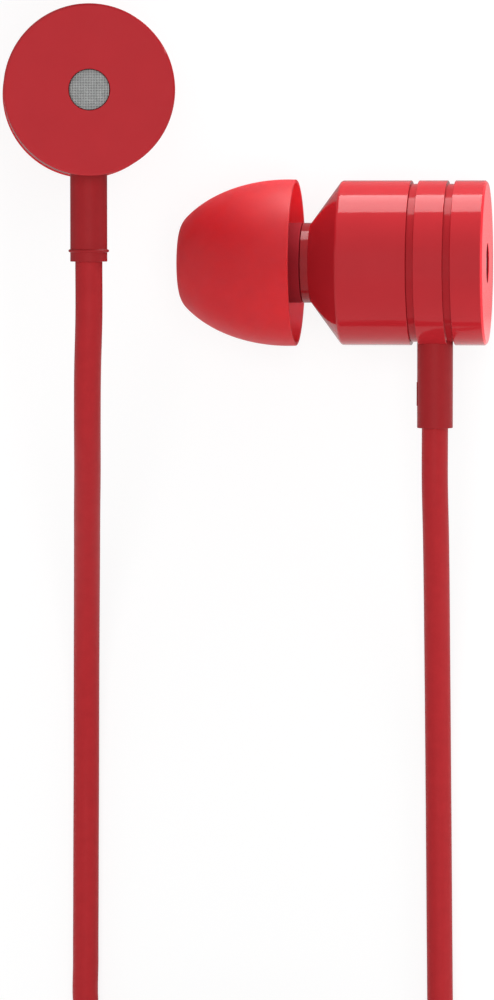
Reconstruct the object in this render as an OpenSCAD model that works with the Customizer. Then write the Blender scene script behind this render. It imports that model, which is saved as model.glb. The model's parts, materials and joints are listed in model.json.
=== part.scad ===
/* [Ear tip] */
// Largest diameter of the silicone ear tip
tip_d = 12; // [11:0.1:13]
// Length of the ear tip from its nose to its rim
tip_len = 8.6; // [8.2:0.1:9.2]
// Distance from the nose to the widest place
tip_mid = 8; // [7.6:0.1:8.2]
// Long half axis of the dome's ellipse
tip_bulge = 8.8; // [8.6:0.1:10]
// Height over which the nose is rounded
nose_round = 0.65; // [0.3:0.05:0.8]
// Depth by which the nose's flat face is trimmed back
nose_back = 0.13; // [0:0.01:0.25]
// Diameter of the sound hole in the nose
nose_hole_d = 3.2; // [2.4:0.1:3.6]
// Wall of the dome
skin_t = 0.5; // [0.3:0.05:0.8]
// Solid length of the nose in front of the hollow
nose_len = 2.6; // [2:0.1:3.5]
// Diameter of the ear tip's stem
stem_d = 5.75; // [5.4:0.05:6.2]
// How far the stem stands out behind the rim
stem_over = 0.45; // [0.2:0.05:1]

/* [Nozzle] */
// Distance from the ear tip's nose back to the nozzle's mouth
nozzle_inset = 2.2; // [1.5:0.1:3]
// Outer diameter of the nozzle
nozzle_d = 4.2; // [3.8:0.05:4.4]
// Diameter of the lip at the nozzle's mouth
lip_d = 4.6; // [4.45:0.05:4.8]
// Length of the lip
lip_len = 0.8; // [0.5:0.1:1.5]
// Bore of the nozzle
nozzle_bore_d = 3; // [2.4:0.1:3.2]
// Radial clearance between the lip and the ear tip's bore
tip_fit = 0.04; // [0.02:0.01:0.08]
// Gap between the stem and the neck behind it
tip_gap = 0.05; // [0.03:0.01:0.2]
// Diameter of the neck between the ear tip and the cone
neck_d = 5.75; // [5.4:0.05:6.2]
// Length of the neck
neck_len = 0.6; // [0.4:0.05:1.2]

/* [Housing] */
// Diameter of the barrel
barrel_d = 11.84; // [11.6:0.02:12.6]
// Length of the cone from neck to barrel
cone_len = 2.24; // [1.9:0.02:2.8]
// Radius on the shoulder where cone and barrel meet
shoulder_r = 0.3; // [0.1:0.05:0.6]
// Length of the front barrel
front_len = 5; // [4.6:0.1:7]
// Width of each groove round the barrel
groove_w = 0.54; // [0.4:0.02:0.8]
// Depth of each groove
groove_depth = 0.24; // [0.1:0.02:0.4]
// Length of the middle ring between the grooves
ring_len = 2.08; // [1.9:0.02:3]
// Length of the rear cap
cap_len = 2.3; // [2:0.05:3.5]
// Thickness of the rear cap's end wall
cap_wall = 1.1; // [0.8:0.05:1.3]
// Chamfer on the rear rim
rim_chamfer = 0.15; // [0.05:0.01:0.3]
// Chamfer on the edges of the grooves
edge = 0.06; // [0.02:0.01:0.12]
// Bore through the middle ring
ring_bore_d = 8.6; // [8:0.1:9]
// Length of the middle ring's spigot in the rear cap
rear_spigot = 0.8; // [0.5:0.05:1]
// Radial clearance between a spigot and its bore
joint_fit = 0.03; // [0.01:0.01:0.06]

/* [Vent] */
// Diameter of the recess for the rear mesh
vent_d = 2.86; // [2.4:0.02:3.6]
// Depth of that recess
vent_depth = 0.28; // [0.2:0.02:0.5]
// Diameter of the hole behind the mesh
vent_hole_d = 2; // [1.2:0.1:2.2]
// Thickness of a mesh disc
mesh_t = 0.12; // [0.06:0.01:0.18]
// Radial clearance round a mesh disc
mesh_fit = 0.02; // [0.01:0.01:0.05]
// Diameter of the seat for the mesh in the nozzle's mouth
nozzle_seat_d = 3.7; // [3.4:0.1:3.9]
// Depth of that seat
nozzle_seat_depth = 0.25; // [0.2:0.01:0.4]

/* [Driver] */
// Diameter of the driver
driver_d = 10; // [9.8:0.02:10.2]
// Radial clearance between the driver and the barrel's bore
driver_fit = 0.04; // [0.02:0.01:0.08]
// Distance from the shoulder back to the driver's seat
driver_inset = 0.7; // [0.6:0.05:0.9]
// Width of the ledge that the driver sits on
ledge_w = 0.6; // [0.4:0.05:0.7]
// Depth of the driver's frame
basket_h = 1.9; // [1.7:0.05:2]
// Outer radius of the yoke
yoke_r = 3.4; // [3.3:0.02:3.5]
// Wall of the yoke
yoke_wall = 0.5; // [0.4:0.02:0.54]
// Thickness of the yoke's floor
yoke_floor = 0.5; // [0.3:0.05:0.8]
// Radius of the magnet
magnet_r = 2.3; // [2:0.05:2.4]
// Thickness of the magnet
magnet_t = 0.95; // [0.9:0.05:1.2]
// Radius of the top plate
plate_r = 2.45; // [2.4:0.01:2.48]
// Thickness of the top plate
plate_t = 0.4; // [0.3:0.05:0.5]
// Inner radius of the voice coil
coil_r = 2.55; // [2.54:0.01:2.58]
// Thickness of the winding
winding_t = 0.2; // [0.12:0.01:0.22]
// Length of the voice coil
winding_len = 1.35; // [1:0.05:1.4]
// Thickness of diaphragm and surround
film_t = 0.08; // [0.04:0.01:0.1]
// Height of the diaphragm's dome
dome_h = 0.6; // [0.3:0.05:0.7]
// Radius where the dome ends and the flat rim begins
dome_r = 2.8; // [2.76:0.01:2.9]
// How far the diaphragm's flat rim reaches past the voice coil
diaphragm_rim = 0.4; // [0.36:0.02:0.5]
// Thickness of the terminal board
board_t = 0.4; // [0.3:0.05:0.6]

/* [Cord and strain relief] */
// Diameter of the cord
cord_d = 1.9; // [1.7:0.05:1.95]
// Diameter of the strain relief
relief_d = 2.58; // [2.4:0.02:2.62]
// How far behind the ring's middle the cord leaves
relief_back = 0.11; // [-0.1:0.01:0.15]
// Distance from the barrel's axis to the end of the strain relief
relief_end = 11.87; // [10:0.01:14]
// Radial clearance between strain relief and housing
relief_fit = 0.02; // [0.01:0.01:0.05]
// Radial clearance between cord and strain relief
cord_fit = 0.02; // [0.01:0.01:0.05]
// Diameter of the flange inside the housing
flange_d = 3.4; // [3:0.1:3.6]
// Thickness of that flange
flange_t = 0.5; // [0.3:0.05:0.6]
// Radius of the knot
knot_r = 1.25; // [1.1:0.05:1.3]
// How far the left sleeve's ring stands out
mark_ring_h = 0.13; // [0.05:0.01:0.25]
// Width of that ring
mark_ring_w = 0.2; // [0.1:0.02:0.4]
// Distance from the ring to the sleeve's end
mark_ring_back = 0.65; // [0.4:0.05:1.5]
// How far the right sleeve's bar stands out
mark_bar_h = 0.04; // [0.03:0.01:0.2]
// Length of that bar
mark_bar_len = 1.7; // [1:0.1:2.2]
// Width of that bar
mark_bar_w = 0.8; // [0.4:0.1:1.2]
// Distance from the bar to the sleeve's end
mark_bar_back = 1.6; // [1:0.1:2.2]
// Diameter of a signal wire
wire_d = 0.3; // [0.2:0.02:0.4]

/* [Resting places] */
// Nose of the left earphone, left to right
left_x = -12.39; // [-16:0.01:-12]
// Nose of the left earphone, near to far
left_y = 8.98; // [8:0.01:12]
// Lean of the left earphone, which stands on its ear tip
left_lean = 5.7; // [0:0.1:8]
// Nose of the right earphone, left to right
right_x = -5.15; // [-5.2:0.01:-3]
// Nose of the right earphone, near to far
right_y = -3.11; // [-5:0.01:-3]
// Lift of the right earphone's rear end, which lies on its side
right_lift = 3.8; // [0:0.1:5]

/* [Coils] */
// Gap between two turns side by side or on each other
turn_gap = 0.5; // [0.45:0.05:0.8]
// Height of the lowest turn above the surface, for the ties
coil_lift = 0.6; // [0.6:0.05:1]
// Middle of the two branches' coil, left to right
branch_x = 0; // [-0.5:0.1:0.5]
// Middle of the two branches' coil, near to far
branch_y = -78.6; // [-80:0.1:-78]
// Outer radius of the two branches' coil, at the cord's middle
branch_r = 15.2; // [15:0.1:15.4]
// Turns in each layer of the two branches' coil
branch_turns = 1.5; // [1.5:0.5:1.5]
// Middle of the main cord's coil, left to right
main_x = -0.2; // [-0.5:0.1:0.2]
// Middle of the main cord's coil, near to far
main_y = -114.5; // [-116:0.1:-114]
// Outer radius of the main cord's coil, at the cord's middle
main_r = 14.2; // [14:0.1:14.4]
// Turns in each layer of the main cord's coil
main_turns = 3.125; // [3.125:0.5:3.125]
// Width of a tie
tie_w = 3; // [2:0.1:4]
// Thickness of a tie
tie_t = 0.4; // [0.3:0.05:0.45]
// Clearance between a tie and the turns in it
tie_fit = 0.15; // [0.1:0.01:0.15]
// Length of a tie's twisted end
twist_len = 4; // [2:0.5:5]

/* [Splitter] */
// Width of the splitter
splitter_w = 6.2; // [5.6:0.1:6.4]
// Length of the splitter
splitter_len = 11; // [9:0.1:11]
// Thickness of the splitter
splitter_t = 3.6; // [3:0.1:3.6]
// Middle of the splitter, left to right
splitter_x = 14; // [14:0.1:14.2]
// Rear face of the splitter, near to far
splitter_y = -94.5; // [-95:0.1:-94]

/* [Plug] */
// Diameter of the plug's contacts
plug_d = 3.5; // [3.5:0.1:3.5]
// Length of the plug's contacts
plug_len = 14; // [13:0.1:15]
// Length of the plug's tip contact
tip_contact_len = 3.3; // [3:0.1:3.6]
// Length of the plug's ring contact
ring_contact_len = 2; // [1.6:0.1:2.4]
// Length of each insulating band
band_w = 0.7; // [0.5:0.05:0.9]
// Diameter of the collar in the grip's mouth
collar_d = 4.2; // [4:0.1:4.4]
// Diameter of the grip
grip_d = 5.5; // [5.2:0.1:6.5]
// Length of the grip
grip_len = 14; // [12:0.1:18]
// Length of the plug's relief
plug_relief_len = 5; // [4:0.1:8]
// Clearance between the concentric contacts of the plug
contact_fit = 0.01; // [0.01:0.01:0.03]
// Clearance between the grip and the coil that it lies on
plug_rest = 0.15; // [0.1:0.05:0.5]
// Rear end of the plug's relief, left to right
plug_x = 0.8; // [0:0.1:1]
// Rear end of the plug's relief, near to far
plug_y = -109.5; // [-110:0.1:-109]

/* [Hidden] */
$fn = 96;
HOUSING = [0.72, 0.19, 0.21];
SILICONE = [0.80, 0.21, 0.23];
JACKET = [0.66, 0.19, 0.21];
STEEL = [0.58, 0.58, 0.57];
NICKEL = [0.80, 0.79, 0.76];
COPPER = [0.75, 0.42, 0.25];
FILM = [0.85, 0.83, 0.76];
RESIN = [0.12, 0.32, 0.18];
BLACK = [0.09, 0.09, 0.10];

// Stations along an earphone, from the ear tip's nose (0) to the rear face
tip_r = tip_d / 2;
stem_end = tip_len + stem_over;
neck_z = stem_end + tip_gap;
cone_z = neck_z + neck_len;
shoulder_z = cone_z + cone_len;
front_groove_z = shoulder_z + front_len;
ring_z = front_groove_z + groove_w;
rear_groove_z = ring_z + ring_len;
cap_z = rear_groove_z + groove_w;
rear_z = cap_z + cap_len;
relief_z = (ring_z + rear_groove_z) / 2 + relief_back;
barrel_r = barrel_d / 2;
groove_r = barrel_r - groove_depth;
bore_r = driver_d / 2 + driver_fit;
spigot_r = bore_r - joint_fit;
ring_bore_r = ring_bore_d / 2;

// Stations along the driver
driver_z = shoulder_z + driver_inset;
film_z = driver_z + 0.22;
plate_z = film_z + film_t + winding_len - 0.9;
magnet_z = plate_z + plate_t;
yoke_floor_z = magnet_z + magnet_t;
yoke_front_z = plate_z - 0.05;
basket_back_t = 0.4;
board_z = driver_z + basket_h + 0.02;
spigot_z = board_z + board_t + 0.02;
film_gap = 0.05;
yoke_bore_r = yoke_r - yoke_wall;
surround_seat_r = driver_d / 2 - 0.55;
surround_ledge_r = surround_seat_r - 0.25;
diaphragm_r = coil_r + winding_t + diaphragm_rim;
roll_in_r = diaphragm_r + film_gap;
roll_mid_r = (surround_ledge_r + roll_in_r) / 2;
roll_r = (surround_ledge_r - roll_in_r) / 2;
basket_bore_r = driver_d / 2 - 0.4;

// The nose of the ear tip: an arc from its flat face to the dome's ellipse
nose_angle = acos((tip_mid - nose_round) / tip_bulge);
nose_turn = atan((tip_bulge * sin(nose_angle)) / (tip_r * cos(nose_angle)));
nose_arc_r = (nose_round - nose_back) / (1 - cos(nose_turn));
nose_flat_r = tip_r * sin(nose_angle) - nose_arc_r * sin(nose_turn);

// Heights at which both earphones rest on the surface
left_z = nose_flat_r * sin(left_lean) + nose_arc_r * (1 - cos(left_lean)) - nose_back * cos(left_lean);
right_z = sqrt(pow(tip_r * cos(right_lift), 2) + pow(tip_bulge * sin(right_lift), 2))
    - tip_mid * sin(right_lift);

// Where the branch cords leave their strain reliefs
left_exit = [left_x + relief_z * sin(left_lean), left_y - relief_end,
    left_z + relief_z * cos(left_lean)];
right_exit = [right_x + relief_z * cos(right_lift), right_y - relief_end,
    right_z + relief_z * sin(right_lift)];

// The coils wind clockwise, seen from above, a step apart sideways and in height
cord_r = cord_d / 2;
turn_step = cord_d + turn_gap;
RINGS = 24;
layer_z = cord_r + coil_lift;
branch_top_z = layer_z + turn_step;
main_top_z = layer_z + 3 * turn_step;
inner_start_r = branch_r - turn_step / 2;
splitter_z = splitter_t / 2 + 0.05;
plug_z = main_top_z + cord_r + plug_rest + grip_d / 2;

function smooth(u) = let (c = min(max(u, 0), 1)) c * c * (3 - 2 * c);
function unit(v) = v / norm(v);
function turns_in(t, n) = let (u = t - 2 * n * floor(t / (2 * n))) n - abs(u - n);
function climb(t, n, layers) =
    layers < 2 ? 0 : smooth((t - (layers - 1) * n + 0.25) / 0.5) + climb(t, n, layers - 1);
function wound(middle, r, pitch, n, layers, t, from = 0) =
    let (q = r - pitch * (t < 0 ? t : t >= 2 * n * floor(layers / 2) ? 0 : turns_in(t, n)) - from)
    [middle[0] + q * cos(-360 * t), middle[1] + q * sin(-360 * t),
        layer_z + turn_step * climb(t, n, layers)];

// A coil's middle line, with its two straight ends
function coil_line(middle, r, pitch, n, layers, from, first) =
    let (
        last = layers * n,
        turned = [for (k = [round(first * RINGS) : round(last * RINGS)])
            wound(middle, r, pitch, n, layers, k / RINGS, from)],
        begin = [sin(-360 * first), -cos(-360 * first), 0],
        end = [sin(-360 * last), -cos(-360 * last), 0]
    )
    concat([turned[0] - cord_d * begin], turned, [turned[len(turned) - 1] + cord_d * end]);

right_coil_line = coil_line([branch_x, branch_y], branch_r, 2 * turn_step, branch_turns, 2, 0, 0);
left_coil_line =
    coil_line([branch_x, branch_y], branch_r, 2 * turn_step, branch_turns, 2, turn_step, -0.25);
main_coil_line = coil_line([main_x, main_y], main_r, turn_step, main_turns, 4, 0, 0);

function last_of(line) = line[len(line) - 1];
function length_of(line) = len(line) < 2 ? 0
    : [for (i = 0, s = 0; i < len(line); s = s + (i + 1 < len(line) ? norm(line[i + 1] - line[i]) : 0),
        i = i + 1) s][len(line) - 1];
function least(a, b, apart) =
    min([for (i = [0 : len(a) - 1]) for (j = [0 : len(b) - 1]) if (abs(i - j) >= apart)
        norm(a[i] - b[j])]) - cord_d;

// Routes of the free stretches, chosen by hand, from each cord's exit onwards
left_line = concat(
    [left_exit, left_exit - [0, 3.8, 0]],
    [[-10.72, -10.6, 17.7], [-10.89, -14.3, 16], [-11.09, -17.6, 13.6], [-11.35, -20.8, 10.9],
        [-11.61, -24.1, 8], [-11.87, -27.7, 5.2], [-12.09, -31.8, 2.9], [-12.23, -36.4, 1.5],
        [-12.29, -41.3, 1], [-12.32, -46, 1], [-12.34, -50.4, 1], [-12.36, -54.6, 1],
        [-12.3, -58.4, 1], [-11.2, -61.9, 1.2], [-8.6, -64.1, 1.4]],
    [left_coil_line[0] - [3.4, 0, 0], left_coil_line[0]]);
right_line = concat(
    [right_exit, right_exit - [0, 3.8, 0]],
    [[13.52, -22.8, 6], [13.56, -26.6, 4.6], [13.58, -30.4, 3], [13.61, -34.6, 1.7],
        [13.65, -39.2, 1.1], [13.7, -44.2, 1], [13.75, -49.2, 1], [13.8, -54.2, 1],
        [13.88, -59.2, 1], [14.2, -64.2, 1.1], [14.8, -69, 1.3]],
    [right_coil_line[0] + [0, 3.4, 0], right_coil_line[0]]);
left_tail_line = concat([last_of(left_coil_line)],
    [for (p = [[-82.4, 3.95], [-84.6, 3.95], [-87.6, 3.9], [-90.4, 2.7]]) [last_of(left_coil_line)[0], p[0], p[1]]],
    [for (back = [cord_d, 0]) [last_of(left_coil_line)[0], splitter_y + back, splitter_z]]);
right_tail_line = concat([last_of(right_coil_line)],
    [for (p = [[-82.4, 3.95], [-84.6, 3.9], [-88.3, 3]]) [last_of(right_coil_line)[0], p[0], p[1]]],
    [for (back = [cord_d, 0]) [last_of(right_coil_line)[0], splitter_y + back, splitter_z]]);
lead_start = [splitter_x, splitter_y - splitter_len, splitter_z];
main_lead_line = concat([lead_start, lead_start - [0, cord_d, 0]],
    [main_coil_line[0] + [0, cord_d, 0], main_coil_line[0]]);
main_tail_line = concat([last_of(main_coil_line), last_of(main_coil_line) + [0, cord_d, 0]],
    [[-14, -107.6, 9.3], [-12.6, -104.4, 10.5], [-9.6, -101.4, 11.6], [-5.6, -100.2, 12.4],
        [-1.8, -101.6, 12.7]],
    [[plug_x - 0.4, -104.8, plug_z], [plug_x, plug_y + cord_d, plug_z],
        [plug_x, plug_y, plug_z]]);

echo(left_coil_gap = least(left_coil_line, left_coil_line, RINGS / 2));
echo(right_coil_gap = least(right_coil_line, right_coil_line, RINGS / 2));
echo(between_branches = least(left_coil_line, right_coil_line, 0));
echo(main_coil_gap = least(main_coil_line, main_coil_line, RINGS / 2));
echo(left_length = [for (l = [left_line, left_coil_line, left_tail_line]) length_of(l)]);
echo(right_length = [for (l = [right_line, right_coil_line, right_tail_line]) length_of(l)]);
echo(main_length = [for (l = [main_lead_line, main_coil_line, main_tail_line]) length_of(l)]);
echo(exits = [left_exit, right_exit], heights = [left_z, right_z], rear = rear_z);

// A tube of n sides along a line, flat underneath, with closed ends
function heading(line, i) = unit(line[min(i + 1, len(line) - 1)] - line[max(i - 1, 0)]);
function ring_at(line, i, n) =
    let (t = heading(line, i), side = unit(cross(t, [0, 0, 1])), up = cross(side, t))
    [for (k = [0 : n - 1]) let (a = 90 - 180 / n + 360 * k / n)
        line[i] + cord_r * (cos(a) * side + sin(a) * up)];

module tube(line, n) {
    last = (len(line) - 1) * n;
    points = [for (i = [0 : len(line) - 1]) each ring_at(line, i, n)];
    walls = [for (i = [0 : len(line) - 2]) for (k = [0 : n - 1])
        let (a = i * n + k, b = i * n + (k + 1) % n) each [[a, b, b + n], [a, b + n, a + n]]];
    ends = [for (k = [1 : n - 2]) each [[0, k + 1, k], [last, last + k, last + k + 1]]];
    polyhedron(points = points, faces = concat(walls, ends));
}

module at_left() {
    translate([left_x, left_y, left_z]) rotate([0, left_lean, 0]) children();
}

module at_right() {
    translate([right_x, right_y, right_z]) rotate([0, 90 - right_lift, 0]) children();
}

// Along the cord's exit: from the barrel's axis outwards
module along_relief() {
    translate([0, 0, relief_z]) rotate([90, 0, 0]) children();
}

module at_plug() {
    translate([plug_x, plug_y, plug_z]) rotate([90, 0, 0]) children();
}

module ear_tip() {
    stem_r = stem_d / 2;
    bore = lip_d / 2 + tip_fit;
    in_r = tip_r - skin_t;
    in_bulge = tip_bulge - skin_t;
    rim_angle = acos((tip_mid - tip_len) / tip_bulge);
    in_rim_angle = acos((tip_mid - tip_len) / in_bulge);
    hollow_angle = acos((tip_mid - nose_len) / in_bulge);
    nose = [for (k = [0 : 4]) let (a = nose_turn * k / 4)
        [nose_flat_r + nose_arc_r * sin(a), nose_back + nose_arc_r * (1 - cos(a))]];
    dome = [for (k = [1 : 16]) let (a = nose_angle + (rim_angle - nose_angle) * k / 16)
        [tip_r * sin(a), tip_mid - tip_bulge * cos(a)]];
    hollow = [for (k = [0 : 12]) let (a = in_rim_angle + (hollow_angle - in_rim_angle) * k / 12)
        [in_r * sin(a), tip_mid - in_bulge * cos(a)]];
    color(SILICONE) rotate_extrude()
        polygon(concat([[nose_hole_d / 2, nose_back]], nose, dome, hollow,
            [[stem_r, nose_len], [stem_r, stem_end], [bore, stem_end],
                [bore, nozzle_inset - 0.25], [nose_hole_d / 2, nozzle_inset - 0.25]]));
}

module front_housing() {
    neck_r = neck_d / 2;
    slope = atan2(barrel_r - neck_r, cone_len);
    tangent = shoulder_r * tan(slope / 2);
    shoulder = [for (k = [0 : 6]) let (a = slope * (1 - k / 6))
        [barrel_r - shoulder_r + shoulder_r * cos(a),
            shoulder_z + tangent - shoulder_r * sin(a)]];
    lip_r = lip_d / 2;
    seat_r = nozzle_seat_d / 2;
    ledge_r = bore_r - ledge_w;
    color(HOUSING) rotate_extrude()
        polygon(concat(
            [[seat_r, nozzle_inset], [lip_r - 0.15, nozzle_inset], [lip_r, nozzle_inset + 0.2],
                [lip_r, nozzle_inset + lip_len], [nozzle_d / 2, nozzle_inset + lip_len + 0.2],
                [nozzle_d / 2, neck_z], [neck_r, neck_z], [neck_r, cone_z]],
            shoulder,
            [[barrel_r, front_groove_z - edge], [barrel_r - edge, front_groove_z],
                [bore_r, front_groove_z], [bore_r, driver_z], [ledge_r, driver_z],
                [ledge_r, driver_z - 0.35], [nozzle_bore_d / 2, cone_z],
                [nozzle_bore_d / 2, nozzle_inset + nozzle_seat_depth],
                [seat_r, nozzle_inset + nozzle_seat_depth]]));
}

module nozzle_mesh() {
    color(STEEL) translate([0, 0, nozzle_inset + nozzle_seat_depth - mesh_t])
        cylinder(r = nozzle_seat_d / 2 - mesh_fit, h = mesh_t);
}

module middle_housing() {
    color(HOUSING) difference() {
        rotate_extrude()
            polygon([[ring_bore_r, spigot_z], [spigot_r, spigot_z], [spigot_r, front_groove_z],
                [groove_r, front_groove_z], [groove_r, ring_z], [barrel_r - edge, ring_z],
                [barrel_r, ring_z + edge], [barrel_r, rear_groove_z - edge],
                [barrel_r - edge, rear_groove_z], [groove_r, rear_groove_z], [groove_r, cap_z],
                [spigot_r, cap_z], [spigot_r, cap_z + rear_spigot],
                [ring_bore_r, cap_z + rear_spigot]]);
        along_relief() translate([0, 0, ring_bore_r / 2])
            cylinder(r = relief_d / 2 + relief_fit, h = barrel_r);
    }
}

module rear_cap() {
    vent_r = vent_d / 2;
    color(HOUSING) rotate_extrude()
        polygon([[bore_r, cap_z], [barrel_r - edge, cap_z], [barrel_r, cap_z + edge],
            [barrel_r, rear_z - rim_chamfer], [barrel_r - rim_chamfer, rear_z],
            [vent_r, rear_z], [vent_r, rear_z - vent_depth], [vent_hole_d / 2, rear_z - vent_depth],
            [vent_hole_d / 2, rear_z - cap_wall], [bore_r, rear_z - cap_wall]]);
}

module vent_mesh() {
    color(STEEL) translate([0, 0, rear_z - vent_depth])
        cylinder(r = vent_d / 2 - mesh_fit, h = mesh_t);
}

module strain_relief(ring_h, bar_h) {
    r = relief_d / 2;
    hole = cord_r + cord_fit;
    flange_out = sqrt(pow(ring_bore_r, 2) - pow(flange_d / 2, 2)) - relief_fit;
    ring_top = relief_end - mark_ring_back;
    band = ring_h > 0 ? [[r, ring_top - mark_ring_w], [r + ring_h, ring_top - mark_ring_w],
        [r + ring_h, ring_top], [r, ring_top]] : [];
    color(JACKET) along_relief() union() {
        rotate_extrude()
            polygon(concat(
                [[hole, flange_out - flange_t], [flange_d / 2, flange_out - flange_t],
                    [flange_d / 2, flange_out], [r, flange_out]],
                band,
                [[r, relief_end - 0.08], [r - 0.08, relief_end], [hole, relief_end]]));
        if (bar_h > 0)
            intersection() {
                difference() {
                    cylinder(r = r + bar_h, h = relief_end);
                    cylinder(r = r - 0.1, h = relief_end);
                }
                translate([-mark_bar_w / 2, -2 * r, relief_end - mark_bar_back - mark_bar_len])
                    cube([mark_bar_w, 2 * r, mark_bar_len]);
            }
    }
}

module cord_knot() {
    flange_in = sqrt(pow(ring_bore_r, 2) - pow(flange_d / 2, 2)) - relief_fit - flange_t;
    color(JACKET) along_relief() {
        translate([0, 0, flange_in - knot_r - 0.02]) {
            sphere(r = knot_r);
            cylinder(r = cord_r, h = relief_end - flange_in + knot_r + 0.02);
        }
    }
}

// Two signal wires from the knot to the solder pads
module wires() {
    flange_in = sqrt(pow(ring_bore_r, 2) - pow(flange_d / 2, 2)) - relief_fit - flange_t;
    pad_y = -(yoke_r + ring_bore_r) / 2;
    pad_z = board_z + board_t + 0.16;
    for (side = [-1, 1]) {
        from = [side * 0.45, -(flange_in - knot_r - 0.02) - 0.2,
            relief_z - knot_r - wire_d / 2 - 0.02];
        run = [side * 0.9, pad_y, pad_z] - from;
        color(COPPER) translate(from)
            rotate([0, acos(run[2] / norm(run)), atan2(run[1], run[0])])
                cylinder(r = wire_d / 2, h = norm(run), $fn = 24);
    }
}

module driver_frame() {
    r = driver_d / 2;
    back_z = driver_z + basket_h;
    color(BLACK) difference() {
        rotate_extrude()
            polygon([[surround_seat_r, driver_z], [r, driver_z], [r, back_z],
                [yoke_r + joint_fit, back_z], [yoke_r + joint_fit, back_z - basket_back_t],
                [basket_bore_r, back_z - basket_back_t], [basket_bore_r, film_z + film_t + 0.2],
                [surround_ledge_r, film_z + film_t + 0.2], [surround_ledge_r, film_z + film_t],
                [surround_seat_r, film_z + film_t]]);
        for (a = [30 : 60 : 330])
            rotate([0, 0, a]) translate([(yoke_r + basket_bore_r) / 2, 0, back_z - 1])
                cylinder(r = 0.3, h = 2, $fn = 24);
    }
}

module yoke() {
    color(NICKEL) rotate_extrude()
        polygon([[0, yoke_floor_z], [yoke_bore_r, yoke_floor_z], [yoke_bore_r, yoke_front_z],
            [yoke_r, yoke_front_z], [yoke_r, yoke_floor_z + yoke_floor],
            [0, yoke_floor_z + yoke_floor]]);
}

module magnet() {
    color(STEEL) translate([0, 0, magnet_z]) cylinder(r = magnet_r, h = magnet_t);
}

module top_plate() {
    color(NICKEL) translate([0, 0, plate_z]) cylinder(r = plate_r, h = plate_t);
}

module voice_coil() {
    color(COPPER) translate([0, 0, film_z + film_t])
        difference() {
            cylinder(r = coil_r + winding_t, h = winding_len);
            translate([0, 0, -1]) cylinder(r = coil_r, h = winding_len + 2);
        }
}

module diaphragm() {
    ball = (pow(dome_r, 2) + pow(dome_h, 2)) / (2 * dome_h);
    half = asin(dome_r / ball);
    top = film_z - dome_h;
    dome = [for (k = [0 : 10]) let (a = half * k / 10)
        [ball * sin(a), top + ball * (1 - cos(a))]];
    under = [for (k = [10 : -1 : 0]) let (a = half * k / 10)
        [(ball - film_t) * sin(a), top + film_t + (ball - film_t) * (1 - cos(a))]];
    color(FILM) rotate_extrude()
        polygon(concat(dome, [[diaphragm_r, film_z], [diaphragm_r, film_z + film_t],
            [dome_r - 0.02, film_z + film_t]], under));
}

module surround() {
    thin = roll_r - film_t;
    out = [for (k = [0 : 10]) let (a = 180 * k / 10)
        [roll_mid_r - roll_r * cos(a), film_z + film_t - roll_r * sin(a)]];
    in = [for (k = [10 : -1 : 0]) let (a = 180 * k / 10)
        [roll_mid_r - thin * cos(a), film_z + film_t - thin * sin(a)]];
    color(FILM) rotate_extrude()
        polygon(concat(out, [[surround_seat_r - 0.02, film_z], [surround_seat_r - 0.02,
            film_z + film_t]], in));
}

module terminal_board() {
    pad_y = -(yoke_r + ring_bore_r) / 2;
    color(RESIN) union() {
        translate([0, 0, board_z]) difference() {
            cylinder(r = driver_d / 2 - 0.05, h = board_t);
            translate([0, 0, -1]) cylinder(r = yoke_r + joint_fit, h = board_t + 2);
        }
        for (side = [-1, 1])
            translate([side * 0.9, pad_y, board_z + board_t / 2])
                cylinder(r = 0.28, h = board_t / 2 + 0.06, $fn = 24);
    }
}

module cord_piece(line, n) {
    color(JACKET) tube(line, n);
}

// A tie round the turns of a coil, at an angle, with its twisted end outside
module tie(middle, angle, outer_r, inner_r, top_z) {
    low_z = layer_z - cord_r - tie_fit;
    size = [outer_r - inner_r + 2 * tie_fit, tie_w, top_z + cord_r + tie_fit - low_z];
    color(BLACK) translate([middle[0], middle[1], 0]) rotate([0, 0, angle])
        translate([inner_r - tie_fit, -tie_w / 2, low_z]) union() {
            difference() {
                translate([-tie_t, 0, -tie_t]) cube(size + [2 * tie_t, 0, 2 * tie_t]);
                translate([0, -1, 0]) cube(size + [0, 2, 0]);
            }
            translate([size[0] + tie_t / 2, tie_w / 2, size[2] / 2]) rotate([0, 90, 0])
                linear_extrude(height = twist_len, twist = 540, slices = 12, $fn = 4)
                    square([1.4, 0.5], center = true);
        }
}

module branch_tie() {
    at = 5 / 8;
    outer = branch_r - 2 * turn_step * at + cord_r;
    most = branch_r - 2 * turn_step * (1 - at) + cord_r;
    inner = branch_r - 2 * turn_step * branch_turns - turn_step - cord_r;
    tie([branch_x, branch_y], -360 * at, max(outer, most), inner, branch_top_z);
}

module main_tie() {
    at = 1 / 8;
    outer = main_r - turn_step * at + cord_r;
    inner = main_r - turn_step * main_turns - cord_r;
    tie([main_x, main_y], -360 * at, outer, inner, main_top_z);
}

module splitter() {
    round_r = 0.8;
    side_r = 1.5;
    color(JACKET) translate([splitter_x, splitter_y - splitter_len / 2, splitter_z])
        intersection() {
            translate([0, 0, -splitter_t / 2]) linear_extrude(height = splitter_t)
                rounded(splitter_w, splitter_len, round_r);
            rotate([90, 0, 0]) linear_extrude(height = splitter_len + 2, center = true)
                rounded(splitter_w, splitter_t, side_r);
            rotate([0, 90, 0]) linear_extrude(height = splitter_w + 2, center = true)
                rounded(splitter_t, splitter_len, 0.5);
        }
}

module rounded(w, l, r) {
    union() {
        square([w - 2 * r, l], center = true);
        square([w, l - 2 * r], center = true);
        for (x = [-1, 1], y = [-1, 1])
            translate([x * (w / 2 - r), y * (l / 2 - r)]) circle(r = r, $fn = 48);
    }
}

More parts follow.
